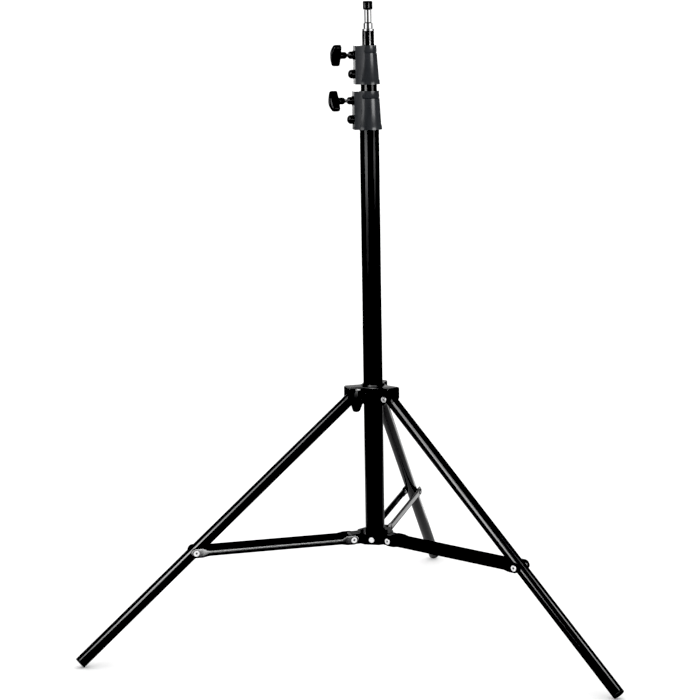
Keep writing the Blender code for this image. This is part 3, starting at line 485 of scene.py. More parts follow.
def soften(shape, chosen, width, segments):
    """Rounds the chosen edges of a shape."""
    bmesh.ops.bevel(
        shape,
        geom=[edge for edge in shape.edges if chosen(edge)],
        offset=width,
        offset_type="OFFSET",
        segments=segments,
        profile=0.5,
        affect="EDGES",
        clamp_overlap=True,
    )


def piece(name, shape, place, body, finish, replaced, chamfer=0.0):
    """A finished piece: the shape put in place, riding on its body in place of its CAD node."""
    moved(shape, place)
    mesh = bpy.data.meshes.new(name)
    shape.to_mesh(mesh)
    shape.free()
    mesh.shade_smooth()
    mesh.set_sharp_from_angle(angle=SHARP_ANGLE)
    mesh.materials.append(finish)
    made = bpy.data.objects.new(name, mesh)
    bpy.context.scene.collection.objects.link(made)
    if chamfer:
        bevel = made.modifiers.new("chamfer", "BEVEL")
        bevel.width = chamfer
        bevel.segments = CHAMFER_STEPS
        bevel.limit_method = "ANGLE"
        bevel.angle_limit = SHARP_ANGLE
        bevel.harden_normals = True
        bevel.use_clamp_overlap = True
    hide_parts(*replaced)
    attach(made, body)


# Materials

# How much rougher a rub in the enamel is, and how dust lightens its colour
RUB_ROUGHNESS = 0.06
DUST_GAIN = 1.7
DUST_LIFT = 0.0006


def material(name, colour, roughness, metallic=0.0, specular=0.5):
    made = bpy.data.materials.new(name)
    made.use_nodes = True
    shader = made.node_tree.nodes["Principled BSDF"]
    shader.inputs["Base Color"].default_value = (*colour, 1.0)
    shader.inputs["Roughness"].default_value = roughness
    shader.inputs["Metallic"].default_value = metallic
    shader.inputs["Specular IOR Level"].default_value = specular
    made.diffuse_color = (*colour, 1.0)
    return made, made.node_tree, shader


def noise(tree, scale, detail, stretch=(1.0, 1.0, 1.0)):
    """A noise texture in the piece's own metres, scale in bumps a metre."""
    place = tree.nodes.new("ShaderNodeTexCoord")
    mapping = tree.nodes.new("ShaderNodeMapping")
    mapping.inputs["Scale"].default_value = stretch
    texture = tree.nodes.new("ShaderNodeTexNoise")
    texture.inputs["Scale"].default_value = scale
    texture.inputs["Detail"].default_value = detail
    tree.links.new(place.outputs["Object"], mapping.inputs["Vector"])
    tree.links.new(mapping.outputs["Vector"], texture.inputs["Vector"])
    return texture.outputs["Fac"]


def spread(tree, value, low, high, start=0.3, end=0.7):
    """Maps the middle of a noise onto low to high."""
    ramp = tree.nodes.new("ShaderNodeMapRange")
    ramp.inputs["From Min"].default_value = start
    ramp.inputs["From Max"].default_value = end
    ramp.inputs["To Min"].default_value = low
    ramp.inputs["To Max"].default_value = high
    tree.links.new(value, ramp.inputs["Value"])
    return ramp.outputs["Result"]


def tinted(tree, value, dark, light):
    mix = tree.nodes.new("ShaderNodeMix")
    mix.data_type = "RGBA"
    mix.inputs["A"].default_value = (*dark, 1.0)
    mix.inputs["B"].default_value = (*light, 1.0)
    tree.links.new(value, mix.inputs["Factor"])
    return mix.outputs["Result"]


def bumped(tree, shader, value, distance):
    bump = tree.nodes.new("ShaderNodeBump")
    bump.inputs["Distance"].default_value = distance
    tree.links.new(value, bump.inputs["Height"])
    tree.links.new(bump.outputs["Normal"], shader.inputs["Normal"])


def paint(name, colour, roughness, peel, specular):
    """Stoved black enamel: faint orange peel, dust dulled patches and hairline rubs."""
    made, tree, shader = material(name, colour, roughness, specular=specular)
    broad = noise(tree, scale=24.0, detail=4.0)
    patches = spread(tree, broad, low=roughness * 0.85, high=roughness * 1.2)
    hairlines = noise(tree, scale=260.0, detail=5.0, stretch=(1.0, 1.0, 0.12))
    rubs = spread(tree, hairlines, low=0.0, high=1.0, start=0.62, end=0.74)
    lifted = tree.nodes.new("ShaderNodeMath")
    lifted.operation = "MULTIPLY_ADD"
    lifted.inputs[1].default_value = RUB_ROUGHNESS
    tree.links.new(rubs, lifted.inputs[0])
    tree.links.new(patches, lifted.inputs[2])
    tree.links.new(lifted.outputs["Value"], shader.inputs["Roughness"])
    dust = spread(tree, noise(tree, scale=70.0, detail=4.0), low=0.0, high=1.0)
    dusty = tuple(share * DUST_GAIN + DUST_LIFT for share in colour)
    tree.links.new(tinted(tree, dust, colour, dusty), shader.inputs["Base Color"])
    bumped(tree, shader, noise(tree, scale=900.0, detail=2.0), peel)
    return made


def moulded(name, colour, roughness, grain, specular=0.5):
    """Glass filled nylon: fine moulding grain and slight flow marks."""
    made, tree, shader = material(name, colour, roughness, specular=specular)
    marks = noise(tree, scale=60.0, detail=3.0, stretch=(1.0, 1.0, 0.35))
    flow = spread(tree, marks, low=0.0, high=1.0)
    darker = tuple(share * 0.8 for share in colour)
    lighter = tuple(share * 1.18 for share in colour)
    tree.links.new(tinted(tree, flow, darker, lighter), shader.inputs["Base Color"])
    mottle = noise(tree, scale=420.0, detail=3.0)
    dulled = spread(tree, mottle, low=roughness * 0.88, high=roughness * 1.15)
    tree.links.new(dulled, shader.inputs["Roughness"])
    bumped(tree, shader, noise(tree, scale=2600.0, detail=3.0), grain)
    return made


def plated(name, colour, roughness, brushing, stretch):
    """Plated steel with fine marks of turning and a little handling haze."""
    made, tree, shader = material(name, colour, roughness, metallic=1.0)
    handling = noise(tree, scale=150.0, detail=4.0)
    haze = spread(tree, handling, low=roughness * 0.8, high=roughness * 1.5)
    tree.links.new(haze, shader.inputs["Roughness"])
    stains = spread(tree, noise(tree, scale=320.0, detail=4.0), low=0.0, high=1.0)
    darker = tuple(share * 0.86 for share in colour)
    tree.links.new(tinted(tree, stains, darker, colour), shader.inputs["Base Color"])
    bumped(tree, shader, noise(tree, scale=900.0, detail=2.0, stretch=stretch), brushing)
    return made


BLACK_ENAMEL = paint("black_enamel", (0.0035, 0.0035, 0.0038), 0.16, 0.000002, 0.4)
BLACK_CASTING = paint("black_casting", (0.004, 0.004, 0.0043), 0.24, 0.00002, 0.4)
GREY_NYLON = moulded("grey_nylon", (0.0235, 0.0248, 0.027), 0.24, 0.000004)
BLACK_NYLON = moulded("black_nylon", (0.0050, 0.0050, 0.0053), 0.33, 0.00001, 0.3)
GLOSS_NYLON = moulded("gloss_nylon", (0.008, 0.008, 0.0085), 0.20, 0.000003)
WHITE_NYLON = moulded("white_nylon", (0.62, 0.61, 0.57), 0.45, 0.000008)
RUBBER = moulded("black_rubber", (0.014, 0.014, 0.0145), 0.62, 0.00002, 0.3)
CHROME = plated("chrome_plate", (0.84, 0.84, 0.85), 0.05, 0.000001, (1.0, 1.0, 6.0))
ZINC = plated("zinc_plate", (0.86, 0.86, 0.87), 0.15, 0.0000012, (1.0, 1.0, 1.0))


# Column and risers


def tube(name, radius, low, high, place, body, steps=TUBE_STEPS):
    inner = radius - TUBE_WALL
    profile = [(inner, low), (radius, low), (radius, high), (inner, high)]
    shape = turned(profile, steps, SMALL_RIM)
    piece(name + "_smooth", shape, place, body, BLACK_ENAMEL, [name])


def height_of(node, top):
    """A node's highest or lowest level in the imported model."""
    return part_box(node)[1 if top else 0].z


def make_column():
    for name, radius, body in (
        ("main_tube", MAIN_RADIUS, "column"),
        ("middle_tube", MIDDLE_RADIUS, "middle_riser"),
        ("top_tube", TOP_RADIUS, "top_riser"),
    ):
        tube(name, radius, height_of(name, False), height_of(name, True), ORIGIN, body)


def make_stud():
    flange_low = height_of("top_tube", True) + SEAT_GAP
    flange_top = flange_low + STUD_FLANGE_HEIGHT
    base_top = flange_top + STUD_BASE_HEIGHT
    neck_top = base_top + STUD_NECK_HEIGHT
    tip_top = neck_top + STUD_TIP_HEIGHT
    spigot = TOP_RADIUS - TUBE_WALL - SEAT_GAP
    stud = turned([
        (0.0, flange_low - STUD_SPIGOT),
        (spigot, flange_low - STUD_SPIGOT),
        (spigot, flange_low),
        (STUD_FLANGE_RADIUS, flange_low),
        (STUD_FLANGE_RADIUS, flange_top),
        (STUD_BASE_RADIUS, flange_top),
        (STUD_BASE_RADIUS, base_top - STUD_BASE_SLOPE),
        (STUD_NECK_RADIUS, base_top),
        (STUD_NECK_RADIUS, neck_top),
        (STUD_TIP_RADIUS, neck_top),
        (STUD_TIP_RADIUS, tip_top),
        (0.0, tip_top),
    ], TUBE_STEPS, SOFT_RIM)
    piece("stud_turned", stud, ORIGIN, "top_riser", CHROME, ["stud"])
    bottom, top = neck_top + SEAT_GAP, neck_top + STUD_CAP_HEIGHT
    hole = STUD_TIP_RADIUS + SEAT_GAP
    hole_end = tip_top + SEAT_GAP
    cap = turned([
        (0.0, hole_end),
        (hole, hole_end),
        (hole, bottom),
        (STUD_CAP_RADIUS, bottom),
        (STUD_CAP_RADIUS, top),
        (0.0, top),
    ], TUBE_STEPS, STUD_CAP_RIM)
    piece(
        "stud_cap_moulded", cap, ORIGIN, "top_riser", GLOSS_NYLON,
        ["stud_cap"],
    )


def make_clamp(prefix, bottom, outer_radius, inner_radius, showing, knob_turn, body):
    seat = ORIGIN @ lift(bottom) @ turn_z(CLAMP_AZIMUTH)
    reach = outer_radius + CLAMP_LUG_REACH
    foot = outer_radius + CLAMP_FOOT_WALL
    crown = inner_radius + CLAMP_TOP_WALL
    groove_top = CLAMP_HEIGHT - CLAMP_GROOVE_DROP
    groove_bottom = groove_top - CLAMP_GROOVE_HEIGHT
    band_top = CLAMP_BAND_HEIGHT + CLAMP_BAND_SLOPE

    def sleeve(height):
        return foot + (crown - foot) * height / CLAMP_HEIGHT

    shell = turned([
        (0.0, 0.0),
        (foot + CLAMP_BAND_STEP, 0.0),
        (sleeve(CLAMP_BAND_HEIGHT) + CLAMP_BAND_STEP, CLAMP_BAND_HEIGHT),
        (sleeve(band_top), band_top),
        (sleeve(groove_bottom), groove_bottom),
        (sleeve(groove_bottom) - CLAMP_GROOVE_DEPTH, groove_bottom),
        (sleeve(groove_top), groove_top),
        (crown, CLAMP_HEIGHT),
        (0.0, CLAMP_HEIGHT),
    ], CASTING_STEPS, 0.0)
    lug = block(
        (0.0, -CLAMP_LUG_HALF_WIDTH, SEAT_GAP),
        (reach, CLAMP_LUG_HALF_WIDTH, CLAMP_HEIGHT - SEAT_GAP),
    )

    def outer_upright(edge):
        run = edge.verts[1].co - edge.verts[0].co
        return math.hypot(run.x, run.y) < SAME_PLACE and edge.verts[0].co.x > outer_radius

    soften(lug, outer_upright, CLAMP_LUG_EDGE, CLAMP_LUG_EDGE_STEPS)
    over = CLAMP_LUG_EDGE
    hollow = turned([
        (0.0, -over),
        (outer_radius + SEAT_GAP, -over),
        (outer_radius + SEAT_GAP, CLAMP_SOCKET),
        (inner_radius + SLIDE_GAP, CLAMP_SOCKET),
        (inner_radius + SLIDE_GAP, CLAMP_HEIGHT + over),
        (0.0, CLAMP_HEIGHT + over),
    ], CASTING_STEPS, 0.0)
    lock_hole = along_x(rod(LOCK_HOLE_RADIUS, inner_radius / 2, reach + over, HOLE_STEPS))
    moved(lock_hole, lift(CLAMP_LOCK_HEIGHT))
    shank_hole = BOLT_SHANK_RADIUS + SEAT_GAP
    bolt_hole = along_x(rod(shank_hole, outer_radius / 2, reach + over, HOLE_STEPS))
    moved(bolt_hole, lift(CLAMP_BOLT_HEIGHT))
    housing = carve(shell, [lug], [hollow, lock_hole, bolt_hole])
    piece(
        prefix + "_clamp_moulded", housing, seat, body, GREY_NYLON,
        [prefix + "_clamp"], CLAMP_CHAMFER,
    )
    make_cap_bolt(prefix, seat, outer_radius + SEAT_GAP, reach + SEAT_GAP, body)
    lock = seat @ lift(CLAMP_LOCK_HEIGHT)
    make_lock(prefix, lock, inner_radius, reach, showing, knob_turn, body)


def make_cap_bolt(prefix, seat, shank_end, head_seat, body):
    dome_start, rise = head_seat + BOLT_CAP_SIDE, BOLT_CAP_HEIGHT - BOLT_CAP_SIDE
    dome = []
    for index in range(BOLT_DOME_STEPS):
        angle = QUARTER_TURN * index / BOLT_DOME_STEPS
        dome.append((BOLT_CAP_RADIUS * math.cos(angle), dome_start + rise * math.sin(angle)))
    bolt = turned([
        (0.0, shank_end),
        (BOLT_SHANK_RADIUS, shank_end),
        (BOLT_SHANK_RADIUS, head_seat),
        (BOLT_CAP_RADIUS, head_seat),
    ] + dome + [(0.0, head_seat + BOLT_CAP_HEIGHT)])
    moved(along_x(bolt), lift(CLAMP_BOLT_HEIGHT))
    piece(
        prefix + "_cap_bolt_moulded", bolt, seat, body, BLACK_NYLON,
        [prefix + "_cap_bolt"],
    )


def threaded(radius, low, high):
    """A screw along X with a real helical thread."""
    count = round((high - low) / THREAD_PITCH * THREAD_RINGS_PER_PITCH)
    rings = []
    for index in range(count + 1):
        along = low + (high - low) * index / count
        lead = min(1.0, (along - low) / THREAD_PITCH, (high - along) / THREAD_PITCH)
        ring = []
        for step in range(THREAD_SIDES):
            angle = math.tau * step / THREAD_SIDES
            phase = (along / THREAD_PITCH - step / THREAD_SIDES) % 1.0
            depth = THREAD_DEPTH * (1.0 - abs(2.0 * phase - 1.0) * lead)
            local = radius - depth
            ring.append((along, local * math.cos(angle), local * math.sin(angle)))
        rings.append(ring)
    return lofted(rings)


def make_lock(prefix, place, tube_radius, reach, showing, knob_turn, body):
    pad_front = tube_radius + SEAT_GAP
    pad_back = pad_front + PAD_THICKNESS
    pad_radius = LOCK_HOLE_RADIUS - SLIDE_GAP
    pad = along_x(rod(pad_radius, pad_front, pad_back, FITTING_STEPS, SMALL_RIM))
    piece(
        prefix + "_lock_pad_moulded", pad, place, prefix + "_lock_pad",
        WHITE_NYLON, [prefix + "_lock_pad"],
    )
    nut_seat = reach + SEAT_GAP
    nut_end = nut_seat + NUT_LENGTH
    spigot_end = pad_back + LOCK_TRAVEL + SLIDE_GAP
    thread = SCREW_RADIUS + SEAT_GAP
    nut = along_x(turned([
        (thread, spigot_end),
        (LOCK_HOLE_RADIUS - SEAT_GAP, spigot_end),
        (LOCK_HOLE_RADIUS - SEAT_GAP, nut_seat),
        (NUT_FLANGE_RADIUS, nut_seat),
        (NUT_FLANGE_RADIUS, nut_seat + NUT_FLANGE_THICKNESS),
        (NUT_RADIUS, nut_seat + NUT_FLANGE_THICKNESS),
        (NUT_RADIUS, nut_end - NUT_TIP_LENGTH),
        (NUT_TIP_RADIUS, nut_end),
        (thread, nut_end),
    ], FITTING_STEPS, SOFT_RIM))
    piece(
        prefix + "_lock_nut_moulded", nut, place, body, BLACK_NYLON,
        [prefix + "_lock_nut"],
    )
    knob_body = prefix + "_lock_knob"
    stem_tip = nut_end + showing
    screw_end = stem_tip + SCREW_GRIP
    screw = threaded(SCREW_RADIUS, pad_back + SEAT_GAP, screw_end)
    piece(
        prefix + "_lock_screw_threaded", screw, place, knob_body, CHROME,
        [prefix + "_lock_screw"],
    )
    make_knob(prefix, place, stem_tip, screw_end, knob_turn, knob_body)


def knob_ring(bar_start, share):
    """The T-bar's outline at a share of the way from its middle to its tip."""
    reach = abs(share)
    depth = KNOB_BAR_DEPTH + (KNOB_BAR_END_DEPTH - KNOB_BAR_DEPTH) * reach ** KNOB_DEPTH_FADE
    width = KNOB_BAR_WIDTH + (KNOB_BAR_END_WIDTH - KNOB_BAR_WIDTH) * reach ** KNOB_WIDTH_FADE
    size = 1.0
    if reach > 1.0 - KNOB_TIP_ROUND:
        over = (reach - 1.0 + KNOB_TIP_ROUND) / KNOB_TIP_ROUND
        size = 1.0 - KNOB_TIP_SHRINK * (1.0 - math.sqrt(max(0.0, 1.0 - over * over)))
    height = share * KNOB_BAR_LENGTH / 2
    centre = bar_start + depth / 2
    ring = oval(depth / 2 * size, width / 2 * size, KNOB_SQUARENESS, KNOB_SIDES)
    return [(centre + x, y, height) for x, y in ring]


def make_knob(prefix, place, stem_tip, screw_end, knob_turn, body):
    bar_start = stem_tip + KNOB_STEM_LENGTH
    levels = []
    for index in range(KNOB_LEVELS + 1):
        levels.append(math.sin(QUARTER_TURN * (2.0 * index / KNOB_LEVELS - 1.0)))
    bar = lofted([knob_ring(bar_start, share) for share in levels])
    stem = along_x(turned([
        (0.0, stem_tip),
        (KNOB_STEM_TIP_RADIUS, stem_tip),
        (KNOB_STEM_RADIUS, stem_tip + KNOB_STEM_TIP_LENGTH),
        (KNOB_STEM_RADIUS, bar_start + KNOB_STEM_SINK),
        (0.0, bar_start + KNOB_STEM_SINK),
    ], STEM_STEPS, 0.0))
    grip = SCREW_RADIUS + SEAT_GAP
    hole = along_x(rod(grip, stem_tip - SEAT_GAP, screw_end + SEAT_GAP, HOLE_STEPS))
    knob = carve(bar, [stem], [hole])
    moved(knob, Matrix.Rotation(math.radians(knob_turn), 4, "X"))
    piece(
        prefix + "_lock_knob_moulded", knob, place, body, BLACK_NYLON,
        [prefix + "_lock_knob"], KNOB_CHAMFER,
    )


# Collar


def collar_outline():
    half_spacing = math.radians(LEG_SPACING / 2)
    root = COLLAR_APOTHEM - COLLAR_LOBE_HALF_WIDTH * math.sin(half_spacing)
    root /= math.cos(half_spacing)
    corner_x = COLLAR_REACH - COLLAR_LOBE_CORNER
    corner_y = COLLAR_LOBE_HALF_WIDTH - COLLAR_LOBE_CORNER
    lobe = [(root, -COLLAR_LOBE_HALF_WIDTH)]
    for y, start in ((-corner_y, -90.0), (corner_y, 0.0)):
        lobe += arc((corner_x, y), COLLAR_LOBE_CORNER, start, start + 90.0, COLLAR_CORNER_STEPS)
    lobe.append((root, COLLAR_LOBE_HALF_WIDTH))
    outline = []
    for azimuth in sorted(LEG_AZIMUTHS.values()):
        outline += [tuple((turn_z(azimuth) @ Vector((x, y, 0.0))).xy) for x, y in lobe]
    return outline


def make_collar():
    place = ORIGIN @ lift(LEG_PIVOT_HEIGHT)
    bottom, top = -COLLAR_BELOW_PIVOT, COLLAR_ABOVE_PIVOT
    body = prism(collar_outline(), bottom, top)

    def at_top(edge):
        return all(abs(vert.co.z - top) < SAME_PLACE for vert in edge.verts)

    soften(body, at_top, COLLAR_TOP_EDGE, COLLAR_TOP_EDGE_STEPS)
    bore = MAIN_RADIUS + SLIDE_GAP
    neck = turned([
        (0.0, 0.0),
        (bore + COLLAR_NECK_FOOT_WALL, 0.0),
        (bore + COLLAR_NECK_FOOT_WALL, top),
        (bore + COLLAR_NECK_TOP_WALL, top + COLLAR_NECK_HEIGHT),
        (0.0, top + COLLAR_NECK_HEIGHT),
    ], CASTING_STEPS, 0.0)
    over = 2 * COLLAR_NECK_HEIGHT
    cuts = [rod(bore, bottom - over, top + over, CASTING_STEPS)]
    half_slot = LEG_RADIUS + COLLAR_SLOT_GAP
    for azimuth in LEG_AZIMUTHS.values():
        slot = block(
            (LEG_PIVOT_RADIUS - half_slot, -half_slot, bottom - over),
            (COLLAR_REACH + over, half_slot, half_slot),
        )
        slope_start = COLLAR_REACH - COLLAR_EAR_SLOPE
        width = COLLAR_LOBE_HALF_WIDTH + over
        slope = prism([
            (slope_start, bottom),
            (slope_start, bottom - over),
            (COLLAR_REACH + over, bottom - over),
            (COLLAR_REACH + over, bottom + COLLAR_EAR_SLOPE + over),
        ], -width, width)
        cuts += [moved(slot, turn_z(azimuth)), moved(upright(slope), turn_z(azimuth))]
    lock = lift(COLLAR_LOCK_RISE) @ turn_z(COLLAR_LOCK_AZIMUTH)
    boss = moved(along_x(rod(COLLAR_LOCK_BOSS_RADIUS, MAIN_RADIUS, COLLAR_LOCK_REACH)), lock)
    hole = along_x(rod(LOCK_HOLE_RADIUS, MAIN_RADIUS / 2, COLLAR_LOCK_REACH + over, HOLE_STEPS))
    cuts.append(moved(hole, lock))
    collar = carve(body, [neck, boss], cuts)
    piece(
        "leg_collar_cast", collar, place, "leg_collar", BLACK_CASTING,
        ["leg_collar"], COLLAR_CHAMFER,
    )
    make_lock(
        "collar", place @ lock, MAIN_RADIUS, COLLAR_LOCK_REACH, COLLAR_LOCK_SHOWING,
        COLLAR_KNOB_TURN, "leg_collar",
    )
    length = 2 * (COLLAR_LOBE_HALF_WIDTH + SEAT_GAP + RIVET_HEAD_THICKNESS)
    for name, azimuth in LEG_AZIMUTHS.items():
        rivet = moved(hollow_rivet(length), Matrix.Translation((LEG_PIVOT_RADIUS, 0.0, 0.0)))
        piece(
            name + "_collar_rivet_set", rivet, place @ turn_z(azimuth), "leg_collar",
            ZINC, [name + "_collar_rivet"],
        )


def rivet_end(tip):
    """The profile of a rivet's head up to its tip, with a drilled bore that ends in a cone."""
    neck = tip - RIVET_HEAD_THICKNESS
    return [
        (RIVET_RADIUS, neck),
        (RIVET_HEAD_RADIUS, neck),
        (RIVET_HEAD_RADIUS, tip - RIVET_HEAD_THICKNESS / 2),
        (RIVET_HEAD_RADIUS - RIVET_HEAD_THICKNESS / 2, tip),
        (RIVET_BORE_RADIUS, tip),
        (RIVET_BORE_RADIUS, tip - RIVET_BORE_DEPTH),
        (0.0, tip - RIVET_BORE_DEPTH - RIVET_BORE_RADIUS),
    ]


def hollow_rivet(length):
    upper = rivet_end(length / 2)
    lower = [(radius, -height) for radius, height in reversed(upper)]
    return along_y(turned(lower + upper, FITTING_STEPS, SMALL_RIM))


# Legs and braces


def make_leg(name, azimuth):
    turn = math.radians(azimuth)
    hinge = ORIGIN @ Matrix.Translation((
        LEG_PIVOT_RADIUS * math.cos(turn), LEG_PIVOT_RADIUS * math.sin(turn), LEG_PIVOT_HEIGHT,
    )) @ turn_z(azimuth) @ Matrix.Rotation(LEG_SLOPE, 4, "Y")
    body = name + "_leg"
    inner = LEG_RADIUS - TUBE_WALL
    tube_end = LEG_LENGTH - FOOT_HEAD - SEAT_GAP
    lie = Matrix.Rotation(QUARTER_TURN, 4, "Y")
    tube(
        name + "_leg_tube", LEG_RADIUS, EYE_TAIL + SEAT_GAP, tube_end, hinge @ lie, body,
        CASTING_STEPS,
    )

    side = arc((0.0, 0.0), LEG_RADIUS, 90.0, 270.0, EYE_NOSE_STEPS)
    side += [(EYE_TAIL, -LEG_RADIUS), (EYE_TAIL, LEG_RADIUS)]
    nose = upright(prism(side, -EYE_HALF_WIDTH, EYE_HALF_WIDTH))
    barrel = along_x(rod(LEG_RADIUS, -2 * LEG_RADIUS, 2 * LEG_RADIUS, CASTING_STEPS))
    spigot = along_x(rod(inner - SEAT_GAP, EYE_TAIL / 2, EYE_TAIL + EYE_SPIGOT, STEM_STEPS))
    hole = along_y(rod(RIVET_RADIUS + SEAT_GAP, -2 * LEG_RADIUS, 2 * LEG_RADIUS, HOLE_STEPS))
    eye = carve(combined(nose, barrel, "INTERSECT"), [spigot], [hole])
    piece(
        name + "_leg_eye_moulded", eye, hinge, body, BLACK_NYLON,
        [name + "_leg_eye"], EYE_CHAMFER,
    )

    washer_in = LEG_RADIUS + SEAT_GAP
    washer_out = washer_in + PIN_WASHER_THICKNESS
    pin = along_y(turned([
        (0.0, -washer_out),
        (PIN_WASHER_RADIUS, -washer_out),
        (PIN_WASHER_RADIUS, -washer_in),
        (RIVET_RADIUS, -washer_in),
        (RIVET_RADIUS, washer_in),
        (PIN_WASHER_RADIUS, washer_in),
        (PIN_WASHER_RADIUS, washer_out),
        (0.0, washer_out),
    ]))
    moved(pin, Matrix.Translation((BRACE_SEAT, 0.0, 0.0)))
    piece(name + "_leg_pin_turned", pin, hinge, body, ZINC, [name + "_leg_pin"])

    head_start = LEG_LENGTH - FOOT_HEAD
    plug = inner - SEAT_GAP
    foot = along_x(turned([
        (0.0, head_start - FOOT_SPIGOT),
        (plug, head_start - FOOT_SPIGOT),
        (plug, head_start),
        (LEG_RADIUS, head_start),
        (LEG_RADIUS, LEG_LENGTH),
        (0.0, LEG_LENGTH),
    ], CASTING_STEPS, SOFT_RIM))
    piece(name + "_foot_moulded", foot, hinge, body, RUBBER, [name + "_foot"])


def brace_frame(azimuth):
    """A brace's place, at its hub pin with X towards its leg pin, and its length between them."""
    seat_radius = LEG_PIVOT_RADIUS + BRACE_SEAT * math.cos(LEG_SLOPE)
    seat_height = LEG_PIVOT_HEIGHT - BRACE_SEAT * math.sin(LEG_SLOPE)
    run, rise = seat_radius - HUB_PIVOT_RADIUS, seat_height - HUB_PIVOT_HEIGHT
    turn = math.radians(azimuth)
    place = ORIGIN @ Matrix.Translation((
        HUB_PIVOT_RADIUS * math.cos(turn), HUB_PIVOT_RADIUS * math.sin(turn), HUB_PIVOT_HEIGHT,
    )) @ turn_z(azimuth) @ Matrix.Rotation(-math.atan2(rise, run), 4, "Y")
    return place, math.hypot(run, rise)


def bar_shape(length):
    """A pressed bar along X from pin to pin: flat round its pins, fuller and rounded between."""
    ends = []
    nose = arc((0.0, 0.0), BAR_END_HALF_HEIGHT, BAR_END_START, 90.0, BAR_END_STEPS)
    for x, height in nose + [(BAR_END_STRAIGHT, BAR_END_HALF_HEIGHT)]:
        ends.append((x, height, BAR_END_HALF_THICKNESS, BAR_END_SQUARENESS))
    for step in range(1, BAR_TAPER_STEPS + 1):
        share = step / BAR_TAPER_STEPS
        ease = share * share * (3.0 - 2.0 * share)
        ends.append((
            BAR_END_STRAIGHT + BAR_END_TAPER * share,
            BAR_END_HALF_HEIGHT + (BAR_HALF_HEIGHT - BAR_END_HALF_HEIGHT) * ease,
            BAR_END_HALF_THICKNESS + (BAR_HALF_THICKNESS - BAR_END_HALF_THICKNESS) * ease,
            BAR_END_SQUARENESS + (BAR_SQUARENESS - BAR_END_SQUARENESS) * ease,
        ))
    far = [
        (length - x, height, thickness, power)
        for x, height, thickness, power in reversed(ends)
    ]
    rings = []
    for x, half_height, half_thickness, power in ends + far:
        ring = oval(half_thickness, half_height, power, BAR_SIDES)
        rings.append([(x, y, z) for y, z in ring])
    return lofted(rings)


def make_brace(name, azimuth):
    place, length = brace_frame(azimuth)
    body = name + "_brace"
    washer_start = LEG_RADIUS + 2 * SEAT_GAP + PIN_WASHER_THICKNESS
    washer_end = BAR_PLANE - BAR_END_HALF_THICKNESS - SEAT_GAP
    head_end = BAR_PLANE + BAR_END_HALF_THICKNESS + SEAT_GAP + RIVET_HEAD_THICKNESS
    for side, sign in (("a", -1.0), ("b", 1.0)):
        bar = moved(bar_shape(length), Matrix.Translation((0.0, sign * BAR_PLANE, 0.0)))
        piece(
            f"{name}_brace_bar_{side}_pressed", bar, place, body, BLACK_ENAMEL,
            [f"{name}_brace_bar_{side}"],
        )
        rivet = turned([
            (0.0, washer_start),
            (PIN_WASHER_RADIUS, washer_start),
            (PIN_WASHER_RADIUS, washer_end),
            (RIVET_RADIUS, washer_end),
        ] + rivet_end(head_end), FITTING_STEPS, SMALL_RIM)
        moved(rivet, Matrix.Rotation(-sign * QUARTER_TURN, 4, "X"))
        moved(rivet, Matrix.Translation((length, 0.0, 0.0)))
        piece(
            f"{name}_brace_rivet_{side}_set", rivet, place, body, ZINC,
            [f"{name}_brace_rivet_{side}"],
        )


# Hub


def make_hub():
    place = ORIGIN @ lift(HUB_PIVOT_HEIGHT)
    half = HUB_HEIGHT / 2
    arm_half_width = BAR_PLANE - BAR_END_HALF_THICKNESS - SEAT_GAP
    arm_half_height = half - HUB_ARM_TOP_DROP
    outline = []
    for azimuth in sorted(LEG_AZIMUTHS.values()):
        arm, flat = turn_z(azimuth), turn_z(azimuth + LEG_SPACING / 2)
        for turn, x, y in (
            (arm, HUB_ARM_ROOT_RADIUS, -arm_half_width / 2),
            (arm, HUB_ARM_ROOT_RADIUS, arm_half_width / 2),
            (flat, HUB_FLAT_RADIUS, -HUB_FLAT_HALF_WIDTH),
            (flat, HUB_FLAT_RADIUS, HUB_FLAT_HALF_WIDTH),
        ):
            outline.append(tuple((turn @ Vector((x, y, 0.0))).xy))
    middle = prism(outline, -half, half)
    added, cuts = [], [rod(MAIN_RADIUS + SEAT_GAP, -2 * half, 2 * half, CASTING_STEPS)]
    for azimuth in LEG_AZIMUTHS.values():
        side = arc((HUB_PIVOT_RADIUS, 0.0), arm_half_height, -90.0, 90.0, HUB_ARM_END_STEPS)
        side += [(MAIN_RADIUS, arm_half_height), (MAIN_RADIUS, -arm_half_height)]
        arm = upright(prism(side, -arm_half_width, arm_half_width))
        lug = block(
            (HUB_LUG_INNER, -HUB_LUG_HALF_WIDTH, 0.0),
            (HUB_LUG_OUTER, HUB_LUG_HALF_WIDTH, half + HUB_LUG_HEIGHT),
        )
        added += [moved(arm, turn_z(azimuth)), moved(lug, turn_z(azimuth))]
        hole = rod(HUB_SCREW_RADIUS + SEAT_GAP, MAIN_RADIUS / 2, 2 * HUB_FLAT_RADIUS, HOLE_STEPS)
        cuts.append(moved(along_x(hole), turn_z(azimuth + LEG_SPACING / 2)))
    hub = carve(middle, added, cuts)
    piece("hub_cast", hub, place, "column", BLACK_CASTING, ["hub"], HUB_CHAMFER)
    length = 2 * (BAR_PLANE + BAR_END_HALF_THICKNESS + SEAT_GAP + RIVET_HEAD_THICKNESS)
    for name, azimuth in LEG_AZIMUTHS.items():
        rivet = moved(hollow_rivet(length), Matrix.Translation((HUB_PIVOT_RADIUS, 0.0, 0.0)))
        piece(
            name + "_hub_rivet_set", rivet, place @ turn_z(azimuth), "column", ZINC,
            [name + "_hub_rivet"],
        )
        piece(
            name + "_hub_screw_turned", hub_screw(), place @ turn_z(azimuth + LEG_SPACING / 2),
            "column", ZINC, [name + "_hub_screw"],
        )


